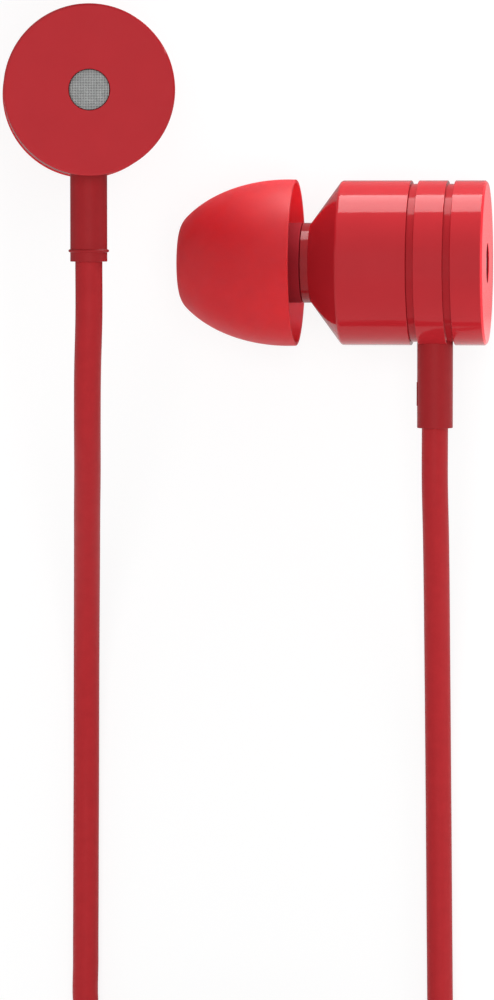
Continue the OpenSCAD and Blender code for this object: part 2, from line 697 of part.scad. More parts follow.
// Stations along the plug, from the relief's rear end (0) to the tip
grip_z = plug_relief_len;
shaft_z = grip_z + grip_len;
plug_end = shaft_z + plug_len;
ring_front = plug_end - tip_contact_len - band_w;
ring_back = ring_front - ring_contact_len;
plug_r = plug_d / 2;
rod_r = 0.45;
core_r = 0.75;
ring_in_r = 1.1;
sleeve_in_r = 1.34;
collar_r = collar_d / 2;
grip_shell_r = grip_d / 2 - 0.45;
collar_z = shaft_z - 4;

module plug_tip() {
    head = ring_front + band_w;
    color(NICKEL) at_plug() rotate_extrude()
        polygon([[0, collar_z - 4], [rod_r, collar_z - 4], [rod_r, head],
            [plug_r - 0.1, head], [1.2, head + 0.5], [1.2, head + 0.7],
            [plug_r - 0.03, plug_end - 1.95], [plug_r, plug_end - 1.75],
            [plug_r - 0.05, plug_end - 1.5], [0.9, plug_end - 0.15], [0.55, plug_end],
            [0, plug_end]]);
}

module plug_ring() {
    color(NICKEL) at_plug() rotate_extrude()
        polygon([[core_r + contact_fit, collar_z - 2.5], [ring_in_r, collar_z - 2.5],
            [ring_in_r, ring_back], [plug_r, ring_back], [plug_r, ring_front],
            [core_r + contact_fit, ring_front]]);
}

module plug_sleeve() {
    color(NICKEL) at_plug() rotate_extrude()
        polygon([[sleeve_in_r + contact_fit, collar_z - 1],
            [grip_shell_r - contact_fit, collar_z - 1], [grip_shell_r - contact_fit, collar_z],
            [collar_r, collar_z], [collar_r, shaft_z], [plug_r, shaft_z],
            [plug_r, ring_back - band_w], [sleeve_in_r + contact_fit, ring_back - band_w]]);
}

module plug_insulators() {
    color(BLACK) at_plug() {
        rotate_extrude()
            polygon([[rod_r + contact_fit, collar_z - 3.2], [core_r, collar_z - 3.2],
                [core_r, ring_front], [plug_r, ring_front], [plug_r, ring_front + band_w],
                [rod_r + contact_fit, ring_front + band_w]]);
        rotate_extrude()
            polygon([[ring_in_r + contact_fit, collar_z - 1.7], [sleeve_in_r, collar_z - 1.7],
                [sleeve_in_r, ring_back - band_w], [plug_r, ring_back - band_w],
                [plug_r, ring_back], [ring_in_r + contact_fit, ring_back]]);
    }
}

module plug_grip() {
    r = grip_d / 2;
    nose = 0.5;
    mouth = collar_r + contact_fit;
    color(HOUSING) at_plug() rotate_extrude()
        polygon([[grip_shell_r, grip_z], [r - 0.2, grip_z], [r, grip_z + 0.2],
            [r, shaft_z - 2.4], [r - groove_depth, shaft_z - 2.4 + groove_depth / 2],
            [r - groove_depth, shaft_z - 1.8], [r, shaft_z - 1.8 + groove_depth / 2],
            [r, shaft_z - nose], [r - nose, shaft_z], [mouth, shaft_z],
            [mouth, collar_z + contact_fit], [grip_shell_r, collar_z + contact_fit]]);
}

module plug_relief() {
    r0 = cord_r + 0.3;
    r1 = grip_d / 2 - 0.9;
    rib = 0.25;
    steps = [for (k = [1 : 3]) let (z = grip_z * k / 4, r = r0 + (r1 - r0) * k / 4)
        each [[r, z - rib], [r - rib, z - rib], [r - rib, z + rib], [r, z + rib]]];
    color(JACKET) at_plug() rotate_extrude()
        polygon(concat([[0, 0], [r0 - 0.1, 0], [r0, 0.1]], steps,
            [[r1, grip_z], [grip_shell_r - contact_fit, grip_z],
                [grip_shell_r - contact_fit, grip_z + 1.5], [0, grip_z + 1.5]]));
}

at_left() ear_tip();  // left_ear_tip
at_left() front_housing();  // left_front_housing
at_left() nozzle_mesh();  // left_nozzle_mesh
at_left() middle_housing();  // left_middle_housing
at_left() rear_cap();  // left_rear_cap
at_left() vent_mesh();  // left_vent_mesh
at_left() strain_relief(mark_ring_h, 0);  // left_strain_relief
at_left() cord_knot();  // left_cord_knot
at_left() wires();  // left_wires
at_left() driver_frame();  // left_driver_frame
at_left() yoke();  // left_yoke
at_left() magnet();  // left_magnet
at_left() top_plate();  // left_top_plate
at_left() voice_coil();  // left_voice_coil
at_left() diaphragm();  // left_diaphragm
at_left() surround();  // left_surround
at_left() terminal_board();  // left_terminal_board
at_right() ear_tip();  // right_ear_tip
at_right() front_housing();  // right_front_housing
at_right() nozzle_mesh();  // right_nozzle_mesh
at_right() middle_housing();  // right_middle_housing
at_right() rear_cap();  // right_rear_cap
at_right() vent_mesh();  // right_vent_mesh
at_right() strain_relief(0, mark_bar_h);  // right_strain_relief
at_right() cord_knot();  // right_cord_knot
at_right() wires();  // right_wires
at_right() driver_frame();  // right_driver_frame
at_right() yoke();  // right_yoke
at_right() magnet();  // right_magnet
at_right() top_plate();  // right_top_plate
at_right() voice_coil();  // right_voice_coil
at_right() diaphragm();  // right_diaphragm
at_right() surround();  // right_surround
at_right() terminal_board();  // right_terminal_board
cord_piece(left_line, 8);  // left_cord
cord_piece(left_coil_line, 6);  // left_coil
cord_piece(left_tail_line, 8);  // left_tail
cord_piece(right_line, 8);  // right_cord
cord_piece(right_coil_line, 6);  // right_coil
cord_piece(right_tail_line, 8);  // right_tail
splitter();
cord_piece(main_lead_line, 8);  // main_lead
cord_piece(main_coil_line, 6);  // main_coil
cord_piece(main_tail_line, 8);  // main_tail
branch_tie();
main_tie();
plug_tip();
plug_ring();
plug_sleeve();
plug_insulators();
plug_grip();
plug_relief();
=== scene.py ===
"""Wired in-ear earphones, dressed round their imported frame."""

import json
import math

import bpy
from bpy.props import FloatProperty, FloatVectorProperty, IntProperty, PointerProperty
from mathutils import Matrix, Vector


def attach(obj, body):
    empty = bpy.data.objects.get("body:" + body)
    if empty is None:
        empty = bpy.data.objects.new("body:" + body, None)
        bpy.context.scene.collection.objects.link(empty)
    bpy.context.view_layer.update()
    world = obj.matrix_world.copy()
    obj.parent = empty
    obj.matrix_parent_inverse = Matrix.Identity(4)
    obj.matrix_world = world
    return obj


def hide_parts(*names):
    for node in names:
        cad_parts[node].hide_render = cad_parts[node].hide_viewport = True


bl_info = {
    "name": "Wired Earphones",
    "version": (1, 0, 0),
    "blender": (4, 5, 0),
    "location": "View3D > Sidebar > Earphones",
    "description": "Builds a pair of wired in-ear earphones, their cords, plug and studio",
    "category": "Object",
}

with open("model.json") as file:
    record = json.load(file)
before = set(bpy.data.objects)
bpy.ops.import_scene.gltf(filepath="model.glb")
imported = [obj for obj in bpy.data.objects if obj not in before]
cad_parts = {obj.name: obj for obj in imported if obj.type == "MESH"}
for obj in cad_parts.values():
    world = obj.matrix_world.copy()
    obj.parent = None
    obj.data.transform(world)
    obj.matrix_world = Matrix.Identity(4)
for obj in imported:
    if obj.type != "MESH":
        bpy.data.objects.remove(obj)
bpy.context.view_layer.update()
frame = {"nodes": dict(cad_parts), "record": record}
MM = 0.001
SIDES = ("left", "right")

# Stations along an earphone, in mm: radius from its axis, height from the ear tip's nose
TIP_R, TIP_LEN, TIP_MID, TIP_BULGE = 6.0, 8.6, 8.0, 8.8
SKIN, RIM_SKIN, NOSE_LEN, NOSE_ROUND, NOSE_BACK, NOSE_HOLE_R = 0.5, 0.24, 2.6, 0.65, 0.13, 1.6
STEM_R, STEM_END = 2.875, 9.05
NOZZLE_Z, NOZZLE_R, NOZZLE_BORE_R = 2.2, 2.1, 1.5
LIP_R, LIP_LEN, TIP_BORE_R = 2.3, 0.8, 2.34
SEAT_R, SEAT_DEPTH = 1.85, 0.25
NECK_Z, NECK_R, CONE_Z, SHOULDER_Z, SHOULDER_ROUND = 9.1, 2.875, 9.7, 11.94, 0.3
BARREL_R, GROOVE_R, BORE_R, SPIGOT_R, RING_BORE_R = 5.92, 5.68, 5.04, 5.01, 4.3
FRONT_GROOVE_Z, RING_Z, REAR_GROOVE_Z, CAP_Z, REAR_Z = 16.94, 17.48, 19.56, 20.1, 22.4
DRIVER_Z, SPIGOT_FROM, SPIGOT_TO = 12.64, 14.98, 20.9
CAP_WALL, RIM_CHAMFER = 1.1, 0.15
VENT_R, VENT_DEPTH, VENT_HOLE_R, MESH_T = 1.43, 0.28, 1.0, 0.12
RELIEF_Z, RELIEF_R, RELIEF_BORE_R, RELIEF_END = 18.63, 1.29, 0.97, 11.87
FLANGE_R, FLANGE_FROM, FLANGE_TO = 1.7, 3.43, 3.93
RING_MARK_TOP, RING_MARK_R, RING_MARK_OUT = 0.65, 0.1, 0.03
BAR_MARK_TOP, BAR_MARK_LEN, BAR_MARK_WIDTH, BAR_MARK_OUT = 1.6, 1.7, 0.8, 0.04

# Cords, in mm
CORD_R, TURN_GAP, COIL_LIFT = 0.95, 0.5, 0.6
BRANCH_MIDDLE, BRANCH_R, BRANCH_TURNS = (0.0, -78.6), 15.2, 1.5
MAIN_MIDDLE, MAIN_R, MAIN_TURNS = (-0.2, -114.5), 14.2, 3.125
SPLITTER = (14.0, -94.5, 1.85)
SPLITTER_SIZE, SPLITTER_ROUND, SPLITTER_EDGE = (6.2, 11.0, 3.6), 1.3, 0.5
PLUG = (0.8, -109.5, 12.6)
TIE_WIDTH, TIE_THICK, TIE_FIT, TIE_RIB, TIE_TAIL = 3.0, 0.4, 0.15, 0.12, 4.0
TIE_TWIST, TIE_STEPS = 540, 48      # degrees along the tail
CORD_LENGTH = {"left": 0.287, "right": 0.299, "main": 0.86}     # in metres

# Plug, in mm: height from the end of its relief
PLUG_R, GRIP_Z, SHAFT_Z, PLUG_END = 1.75, 5.0, 19.0, 33.0
TIP_CONTACT_LEN, RING_CONTACT_LEN, BAND_LEN = 3.3, 2.0, 0.7
PIN_R, PIN_Z, RING_CONTACT_BORE_R, SLEEVE_BORE_R = 0.45, 11, 1.0, 1.35
COLLAR_R, COLLAR_Z, GRIP_R, GRIP_BORE_R = 2.1, 15, 2.75, 2.3

LEFT_AT = Matrix.Translation((-12.39, 8.98, 0.079669)) @ Matrix.Rotation(math.radians(5.7), 4, "Y")
RIGHT_AT = Matrix.Translation((-5.15, -3.11, 5.48496)) @ Matrix.Rotation(math.radians(86.2), 4, "Y")
PLACE = {"left": LEFT_AT, "right": RIGHT_AT}
ALONG_RELIEF = Matrix.Translation((0, 0, RELIEF_Z)) @ Matrix.Rotation(math.radians(90), 4, "X")
PLUG_AT = Matrix.Translation(PLUG) @ Matrix.Rotation(math.radians(90), 4, "X")

SMALL_FACETS = 96           # round the sleeves and the plug
MERGE = 0.000002            # points nearer than this are one, in metres

# Camera, floor and lamps, in mm
CAMERA_AT, CAMERA_AIM = (18.40, 1.01, 360.0), (-0.47, -20.63, 0.0)
FLOOR_WHITE, FLOOR_GLOW = 0.86, 1.06
NEAR_FROM, NEAR_TO = -12, -7    # between these two, gloss mirrors a floor that turns from front to near
LAMPS = {       # place, aim, width and height
    "strip": ((12, 26.5, 9.0), (12, 0, 9.0), 26, 17),
    "back": ((12, 28.5, 9.0), (12, 0, 9.0), 26, 17),
    "rear": ((27, -3, 8), (17, -3, 6.9), 15, 14),
    "front": ((5, -430, 125), (5, -10, 5), 450, 180),
    "left": ((-28, -42, 9), (-12, -42, 2), 90, 14),
    "right": ((30, -42, 9), (14, -42, 2), 90, 14),
    "top": ((0, -15, 200), (0, -15, 0), 140, 140),
}


# Settings ------------------------------------------------------------------------------------

class EarphoneSizes(bpy.types.PropertyGroup):
    """How finely the pieces are made."""

    barrel_facets: IntProperty(
        name="Barrel facets", description="Facets round a turned piece", default=160, min=32, max=256)
    edge_round: FloatProperty(
        name="Edge rounding", description="Rounding on the barrels' machined edges",
        default=0.00004, min=0.00001, max=0.0001, unit="LENGTH", precision=5)
    tip_round: FloatProperty(
        name="Ear tip rounding", description="Rounding on the moulded edges of the ear tips",
        default=0.00006, min=0.00002, max=0.00012, unit="LENGTH", precision=5)
    vent_pitch: FloatProperty(
        name="Vent mesh pitch", description="Distance between two wires of the rear mesh",
        default=0.00011, min=0.00008, max=0.0003, unit="LENGTH", precision=5)
    nozzle_pitch: FloatProperty(
        name="Nozzle mesh pitch", description="Distance between two wires of the nozzle's mesh",
        default=0.00022, min=0.00015, max=0.0004, unit="LENGTH", precision=5)
    cord_sides: IntProperty(
        name="Cord sides", description="Facets round a cord", default=20, min=8, max=32)


class EarphoneFinishes(bpy.types.PropertyGroup):
    """Colours and gloss of the visible pieces."""

    lacquer: FloatVectorProperty(
        name="Lacquer", description="Colour of the barrels' gloss lacquer", subtype="COLOR",
        default=(0.475, 0.0175, 0.0248), min=0, max=1)
    silicone: FloatVectorProperty(
        name="Silicone", description="Colour of the ear tips", subtype="COLOR",
        default=(0.56, 0.018, 0.026), min=0, max=1)
    jacket: FloatVectorProperty(
        name="Cord jacket", description="Colour of cords and strain reliefs", subtype="COLOR",
        default=(0.42, 0.022, 0.027), min=0, max=1)
    steel: FloatVectorProperty(
        name="Mesh", description="Colour of the woven meshes", subtype="COLOR",
        default=(0.66, 0.67, 0.665), min=0, max=1)
    contact: FloatVectorProperty(
        name="Contacts", description="Colour of the plug's contacts", subtype="COLOR",
        default=(0.75, 0.74, 0.71), min=0, max=1)
    lacquer_roughness: FloatProperty(
        name="Lacquer roughness", description="How much the lacquer blurs what it reflects",
        default=0.08, min=0.02, max=0.6, subtype="FACTOR")


class EarphoneStudio(bpy.types.PropertyGroup):
    """Camera and lights."""

    lens: FloatProperty(
        name="Lens", description="Focal length of the camera", default=176.6, min=20, max=400,
        unit="CAMERA")
    ambient: FloatProperty(
        name="Ambient", description="Strength of the even light from all round", default=0.36, min=0, max=3)
    top_power: FloatProperty(
        name="Top light", description="Power of the soft light overhead", default=0.215, min=0, max=5,
        unit="POWER", precision=3)
    strip_power: FloatProperty(
        name="Strip light", description="Power of the strip that the gloss mirrors, beyond the barrels",
        default=0.0118, min=0, max=1, unit="POWER", precision=4)
    back_power: FloatProperty(
        name="Back light", description="Power of the soft light beyond the barrels",
        default=0.0102, min=0, max=1, unit="POWER", precision=4)
    rear_power: FloatProperty(
        name="Rear light", description="Power of the light on the lying earphone's rear",
        default=0.0058, min=0, max=1, unit="POWER", precision=4)
    front_power: FloatProperty(
        name="Front light", description="Power of the soft light from beyond the cords",
        default=0.378, min=0, max=5, unit="POWER", precision=4)
    left_power: FloatProperty(
        name="Left light", description="Power of the light on the left of the cords",
        default=0.0009, min=0, max=1, unit="POWER", precision=4)
    right_power: FloatProperty(
        name="Right light", description="Power of the light on the right of the cords",
        default=0.0033, min=0, max=1, unit="POWER", precision=4)
    shadow: FloatProperty(
        name="Shadow", description="How much of the shadow shows on the white floor",
        default=0.22, min=0, max=1, subtype="FACTOR")
    gloss_near: FloatProperty(
        name="White near", description="Share of plain white where gloss mirrors the floor near the earphones",
        default=0.05, min=0, max=1, subtype="FACTOR")
    gloss_floor: FloatProperty(
        name="Floor in gloss", description="Brightness of the floor near the earphones where gloss mirrors it",
        default=0.35, min=0, max=1, subtype="FACTOR")
    gloss_front: FloatProperty(
        name="White in front", description="Share of plain white where gloss mirrors the floor in front of them",
        default=0.6, min=0, max=1, subtype="FACTOR")


# Tools ---------------------------------------------------------------------------------------

def object_mode():
    if bpy.context.object and bpy.context.object.mode != "OBJECT":
        bpy.ops.object.mode_set(mode="OBJECT")


def nothing_selected():
    object_mode()
    bpy.ops.object.select_all(action="DESELECT")


def only(ob):
    nothing_selected()
    ob.select_set(True)
    bpy.context.view_layer.objects.active = ob


def edit(ob, select="SELECT"):
    only(ob)
    bpy.ops.object.mode_set(mode="EDIT")
    bpy.ops.mesh.select_mode(type="VERT")
    bpy.ops.mesh.select_all(action=select)


def pick(ob, kind, test):
    """Edits the piece with only those vertices, edges or faces selected for which the test holds."""
    edit(ob, "DESELECT")
    bpy.ops.mesh.select_mode(type=kind)
    object_mode()
    mesh = ob.data
    for item in {"VERT": mesh.vertices, "EDGE": mesh.edges, "FACE": mesh.polygons}[kind]:
        item.select = test(item)
    bpy.ops.object.mode_set(mode="EDIT")


def runs_along(ob, axis):
    """A test for the edges that run along an axis."""
    def test(edge):
        a, b = (ob.data.vertices[v].co for v in edge.vertices)
        return abs(a[axis] - b[axis]) > 0.9 * (a - b).length
    return test


def settle(ob, place=None):
    """Puts the piece's place into its mesh; place is in mm."""
    object_mode()
    if place is not None:
        metres = place.copy()
        metres.translation = place.translation * MM
        ob.matrix_world = metres @ ob.matrix_world
    only(ob)
    bpy.ops.object.transform_apply(location=True, rotation=True, scale=True)
    return ob


def modify(ob, kind, **values):
    only(ob)
    m = ob.modifiers.new(kind.title(), kind)
    for k, v in values.items():
        setattr(m, k, v)
    bpy.ops.object.modifier_apply(modifier=m.name)


def smooth(ob, degrees=32):
    """Smooth shading up to an angle, where the small faces of a rounding don't tilt the large faces beside it."""
    only(ob)
    bpy.ops.object.shade_smooth_by_angle(angle=math.radians(degrees))
    for k in (1 / MM, MM):      # faces of less than a square millimetre are too small for the modifier
        if k == MM:
            modify(ob, "WEIGHTED_NORMAL", mode="FACE_AREA", weight=100, keep_sharp=True)
        ob.scale = (k, k, k)
        bpy.ops.object.transform_apply(location=False, rotation=False, scale=True)
    return ob


def start(name, point):
    """A new piece that is a single vertex, ready to be drawn out."""
    nothing_selected()
    bpy.ops.mesh.primitive_plane_add(size=MM)
    ob = bpy.context.object
    ob.name = ob.data.name = name
    edit(ob)
    bpy.ops.mesh.merge(type="CENTER")
    bpy.ops.transform.translate(value=Vector(point) * MM)
    return ob


def turned(name, profile, facets, bevel=0.0, place=None):
    """Draws the profile out point by point, (radius, height) in mm, and spins it round the Z axis."""
    ob = start(name, (profile[0][0], 0, profile[0][1]))
    for a, b in zip(profile, profile[1:]):
        step = ((b[0] - a[0]) * MM, 0, (b[1] - a[1]) * MM)
        bpy.ops.mesh.extrude_vertices_move(TRANSFORM_OT_translate={"value": step})
    bpy.ops.mesh.select_all(action="SELECT")
    bpy.ops.mesh.edge_face_add()
    bpy.ops.mesh.delete(type="ONLY_FACE")
    bpy.ops.mesh.select_all(action="SELECT")
    bpy.ops.mesh.spin(steps=facets, angle=2 * math.pi, center=(0, 0, 0), axis=(0, 0, 1))
    bpy.ops.mesh.select_all(action="SELECT")
    bpy.ops.mesh.remove_doubles(threshold=MERGE)
    bpy.ops.mesh.normals_make_consistent(inside=False)
    object_mode()
    if bevel:
        modify(ob, "BEVEL", width=bevel, segments=3, limit_method="ANGLE",
               angle_limit=math.radians(35), use_clamp_overlap=True)
    smooth(ob)
    return settle(ob, place)


def arc(middle, r, first, last, n):
    """Points on an arc, angles in degrees from the radial direction."""
    return [(middle[0] + r * math.cos(math.radians(first + (last - first) * k / n)),
             middle[1] + r * math.sin(math.radians(first + (last - first) * k / n)))
            for k in range(n + 1)]


def tube(name, points, r, sides):
    """A tube swept along points in mm, its rings square to the route."""
    pts = [Vector(p) * MM for p in points]
    heads = [(pts[min(i + 1, len(pts) - 1)] - pts[max(i - 1, 0)]).normalized() for i in range(len(pts))]
    across = heads[0].cross(Vector((0, 0, 1)))
    if across.length < 0.1:
        across = heads[0].cross(Vector((0, 1, 0)))
    across.normalize()
    verts, faces = [], []
    for p, h in zip(pts, heads):
        across = (across - h * across.dot(h)).normalized()
        up = across.cross(h)
        for k in range(sides):
            a = 2 * math.pi * k / sides
            verts.append(p + r * MM * (across * math.cos(a) + up * math.sin(a)))
    for i in range(len(pts) - 1):
        for k in range(sides):
            a, b = i * sides + k, i * sides + (k + 1) % sides
            faces.append((a, a + sides, b + sides, b))
    faces.append(tuple(range(sides)))
    faces.append(tuple(range(len(pts) * sides - 1, (len(pts) - 1) * sides - 1, -1)))
    mesh = bpy.data.meshes.new(name)
    mesh.from_pydata(verts, [], faces)
    ob = bpy.data.objects.new(name, mesh)
    bpy.context.collection.objects.link(ob)
    edit(ob)
    bpy.ops.mesh.normals_make_consistent(inside=False)
    object_mode()
    bpy.ops.object.shade_smooth_by_angle(angle=math.radians(40))
    return settle(ob)


def joined(name, obs):
    nothing_selected()
    for ob in obs:
        ob.select_set(True)
    bpy.context.view_layer.objects.active = obs[0]
    if len(obs) > 1:
        bpy.ops.object.join()
    ob = bpy.context.object
    ob.name = ob.data.name = name
    return ob


def dressed(ob, material, body, *nodes):
    """Gives the piece its finish, its body and the CAD nodes that it stands for."""
    ob.data.materials.clear()
    ob.data.materials.append(material)
    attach(ob, body)
    if nodes:
        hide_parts(*nodes)
        NODE_SLOT[nodes[0]]
    return ob


def paint_light_and_shade(ob, material, side, test):
    """Gives the faces for which the test of radius and height in mm holds a second material: a copy of the finish
    painted darker for shade or lighter for light that falls there.
    """
    ob.data.materials.append(material)
    slot = len(ob.data.materials) - 1
    back = PLACE[side].inverted()
    for face in ob.data.polygons:
        at = back @ (face.center / MM)
        if test(math.hypot(at.x, at.y), at.z):
            face.material_index = slot


NODE_SLOT = {s["node"]: s["material_slot"] for s in frame["record"]["subparts"]}


# Finishes ------------------------------------------------------------------------------------

class Nodes:
    """Lays out a material's nodes."""

    def __init__(self, name):
        self.material = bpy.data.materials.new(name)
        self.material.use_nodes = True
        self.tree = self.material.node_tree
        self.shader = self.tree.nodes["Principled BSDF"]
        self.place = self.tree.nodes.new("ShaderNodeTexCoord").outputs["Object"]

    def add(self, kind, **values):
        node = self.tree.nodes.new(kind)
        for k, v in values.items():
            if hasattr(node, k):
                setattr(node, k, v)
            else:
                node.inputs[k.replace("_", " ")].default_value = v
        return node

    def link(self, a, b):
        self.tree.links.new(a, b)

    def noise(self, size, detail=3.0):
        """Noise whose patches are about size mm wide."""
        n = self.add("ShaderNodeTexNoise", Scale=1 / (size * MM), Detail=detail, Roughness=0.55)
        self.link(self.place, n.inputs["Vector"])
        return n.outputs["Fac"]

    def spread(self, noise, low, high):
        """Stretches the middle of a noise to run from low to high."""
        n = self.add("ShaderNodeMapRange", From_Min=0.3, From_Max=0.7, To_Min=low, To_Max=high)
        self.link(noise, n.inputs["Value"])
        return n.outputs["Result"]

    def tint(self, value, a, b):
        n = self.add("ShaderNodeMix", data_type="RGBA")
        n.inputs["A"].default_value = (*a, 1)
        n.inputs["B"].default_value = (*b, 1)
        self.link(value, n.inputs["Factor"])
        return n.outputs["Result"]

    def bump(self, value, depth):
        """Bump of about depth mm."""
        n = self.add("ShaderNodeBump", Strength=1.0, Distance=depth * MM)
        self.link(value, n.inputs["Height"])
        return n.outputs["Normal"]

    def set(self, **values):
        for k, v in values.items():
            self.shader.inputs[k.replace("_", " ")].default_value = v


def shade(colour, k):
    return tuple(min(1.0, c * k) for c in colour)


def finish(name, colour, rough, spread, patch, grain, depth, gloss_spread=0.04, **values):
    """A finish whose colour, gloss and surface all vary a little over the piece."""
    n = Nodes(name)
    n.link(n.tint(n.spread(n.noise(patch), 0, 1), shade(colour, 1 - spread), shade(colour, 1 + spread)),
           n.shader.inputs["Base Color"])
    n.link(n.spread(n.noise(patch * 0.7, 4), rough - gloss_spread, rough + gloss_spread),
           n.shader.inputs["Roughness"])
    n.link(n.bump(n.noise(grain, 2), depth), n.shader.inputs["Normal"])
    n.set(**values)
    return n.material


class Finishes(dict):
    """The finishes by name, all made when a piece first asks for one."""

    def __missing__(self, name):
        make_finishes()
        return self[name]


MATERIAL = Finishes()


def make_finishes():
    f = bpy.context.scene.earphone_finishes
    red, gloss = f.lacquer, f.lacquer_roughness
    soft = dict(Subsurface_Weight=0.9, Subsurface_Radius=(1.0, 0.25, 0.2), Subsurface_Scale=0.0014)
    # material, colour, roughness, how far the colour spreads, patch, grain and its depth in mm, the rest
    table = {
        "lacquer": ("red_gloss_lacquer", red, gloss, 0.02, 2.5, 0.5, 0.0008,
                    dict(gloss_spread=0.015, IOR=1.28)),
        # painted shade: the groove floors get a darker lacquer for the shade that falls in the narrow grooves
        "groove": ("red_lacquer_in_grooves", shade(red, 0.8), gloss + 0.04, 0.03, 1.5, 0.4, 0.001,
                   dict(gloss_spread=0.02, IOR=1.2)),
        # painted shade: the neck gets a darker lacquer for the shade of the ear tip's skirt over it
        "neck": ("red_lacquer_on_neck", shade(red, 0.6), gloss + 0.02, 0.03, 1.5, 0.4, 0.001,
                 dict(gloss_spread=0.02, IOR=1.28)),
        # painted shade: the vent recess's wall gets a much darker lacquer for the shade inside the recess
        "recess": ("red_lacquer_in_recess", shade(red, 0.25), 0.3, 0.05, 0.5, 0.3, 0.001, dict(IOR=1.2)),
        # painted shade: the stem inside the skirt gets a darker silicone for the shade the skirt casts on it
        "core": ("red_silicone_core", (0.31, 0.018, 0.026), 0.7, 0.03, 1.0, 0.08, 0.004, dict(IOR=1.1)),
        # painted light: the skirt's inside gets a lighter, redder silicone for light shining through the thin
        # skin, on top of the real subsurface scattering
        "painted_inner_glow": ("red_silicone_inner", (0.74, 0.09, 0.12), 0.55, 0.03, 1.2, 0.09, 0.006,
                       dict(IOR=1.25, **soft)),
        "silicone": ("red_silicone", f.silicone, 0.5, 0.03, 1.2, 0.09, 0.008, dict(IOR=1.36, **soft)),
        "jacket": ("red_cord_jacket", f.jacket, 0.42, 0.04, 0.9, 0.12, 0.004, dict(IOR=1.2)),
        # painted shade: the strain reliefs get a darker jacket for the shade of the barrels above them
        "sleeve": ("red_moulded_sleeve", shade(f.jacket, 0.8), 0.4, 0.03, 0.8, 0.1, 0.003, dict(IOR=1.22)),
        "splitter": ("red_moulded_splitter", f.jacket, 0.38, 0.03, 1.1, 0.1, 0.004, dict(IOR=1.45)),
        "mesh": ("woven_steel", f.steel, 0.42, 0.12, 0.3, 0.05, 0.002, dict(Metallic=0.85)),
        "cloth": ("acoustic_cloth", (0.13, 0.13, 0.13), 0.8, 0.2, 0.08, 0.04, 0.004, {}),
        "contact": ("plated_contact", f.contact, 0.16, 0.03, 0.8, 0.2, 0.0006, dict(Metallic=1.0)),
        "nickel": ("nickel_plate", (0.62, 0.6, 0.56), 0.28, 0.05, 0.6, 0.15, 0.001, dict(Metallic=1.0)),
        "magnet": ("magnet_plate", (0.45, 0.45, 0.44), 0.35, 0.06, 0.5, 0.1, 0.001, dict(Metallic=1.0)),
        "copper": ("enamelled_copper", (0.62, 0.22, 0.09), 0.3, 0.1, 0.2, 0.05, 0.003, dict(Metallic=0.9)),
        "film": ("diaphragm_film", (0.66, 0.63, 0.52), 0.3, 0.05, 0.5, 0.1, 0.001, dict(IOR=1.55)),
        "resin": ("board_resin", (0.014, 0.09, 0.03), 0.4, 0.12, 0.3, 0.07, 0.002, dict(IOR=1.5)),
        "black_plastic": ("black_moulding", (0.012, 0.012, 0.013), 0.45, 0.2, 0.5, 0.08, 0.003, dict(IOR=1.46)),
        "tie": ("black_tie", (0.014, 0.014, 0.015), 0.4, 0.15, 0.6, 0.08, 0.004, dict(IOR=1.48)),
    }
    for name, (*values, rest) in table.items():
        MATERIAL[name] = finish(*values, **rest)


# Routes of the cords -------------------------------------------------------------------------

def ease(u):
    u = min(max(u, 0.0), 1.0)
    return u * u * (3 - 2 * u)


def coil_line(middle, r, pitch, turns, layers, inset, first, per_turn=36):
    """A coil's middle line: spirals in and out, a layer higher at each reversal, with two straight ends."""
    step = 2 * CORD_R + TURN_GAP
    last = layers * turns
    low = CORD_R + COIL_LIFT
    points = []
    for k in range(round(first * per_turn), round(last * per_turn) + 1):
        t = k / per_turn
        if t < 0:
            inward = t
        elif t >= 2 * turns * (layers // 2):
            inward = 0
        else:
            inward = turns - abs(t % (2 * turns) - turns)
        q = r - pitch * inward - inset
        a = -2 * math.pi * t
        rise = sum(ease((t - n * turns + 0.25) / 0.5) for n in range(1, layers))
        points.append(Vector((middle[0] + q * math.cos(a), middle[1] + q * math.sin(a), low + step * rise)))

    def along(t):
        a = -2 * math.pi * t
        return Vector((math.sin(a), -math.cos(a), 0))

    return ([points[0] - 2 * CORD_R * along(first)] + points + [points[-1] + 2 * CORD_R * along(last)])


def curve_through(points, spacing=0.6):
    """A smooth line through the points, resampled so that a tube bends evenly along it."""
    pts = [Vector(p) for p in points]
    out = [pts[0]]
    for i in range(len(pts) - 1):
        p0 = pts[max(i - 1, 0)]
        p1, p2 = pts[i], pts[i + 1]
        p3 = pts[min(i + 2, len(pts) - 1)]
        span = (p2 - p1).length
        if i == 0:
            p0 = p1 - (p2 - p1)
        if i == len(pts) - 2:
            p3 = p2 + (p2 - p1)
        t1 = (p2 - p0).normalized() * span
        t2 = (p3 - p1).normalized() * span
        n = max(1, round(span / spacing))
        for k in range(1, n + 1):
            u = k / n
            h1 = 2 * u ** 3 - 3 * u ** 2 + 1
            h2 = u ** 3 - 2 * u ** 2 + u
            h3 = -2 * u ** 3 + 3 * u ** 2
            h4 = u ** 3 - u ** 2
            out.append(h1 * p1 + h2 * t1 + h3 * p2 + h4 * t2)
    return out


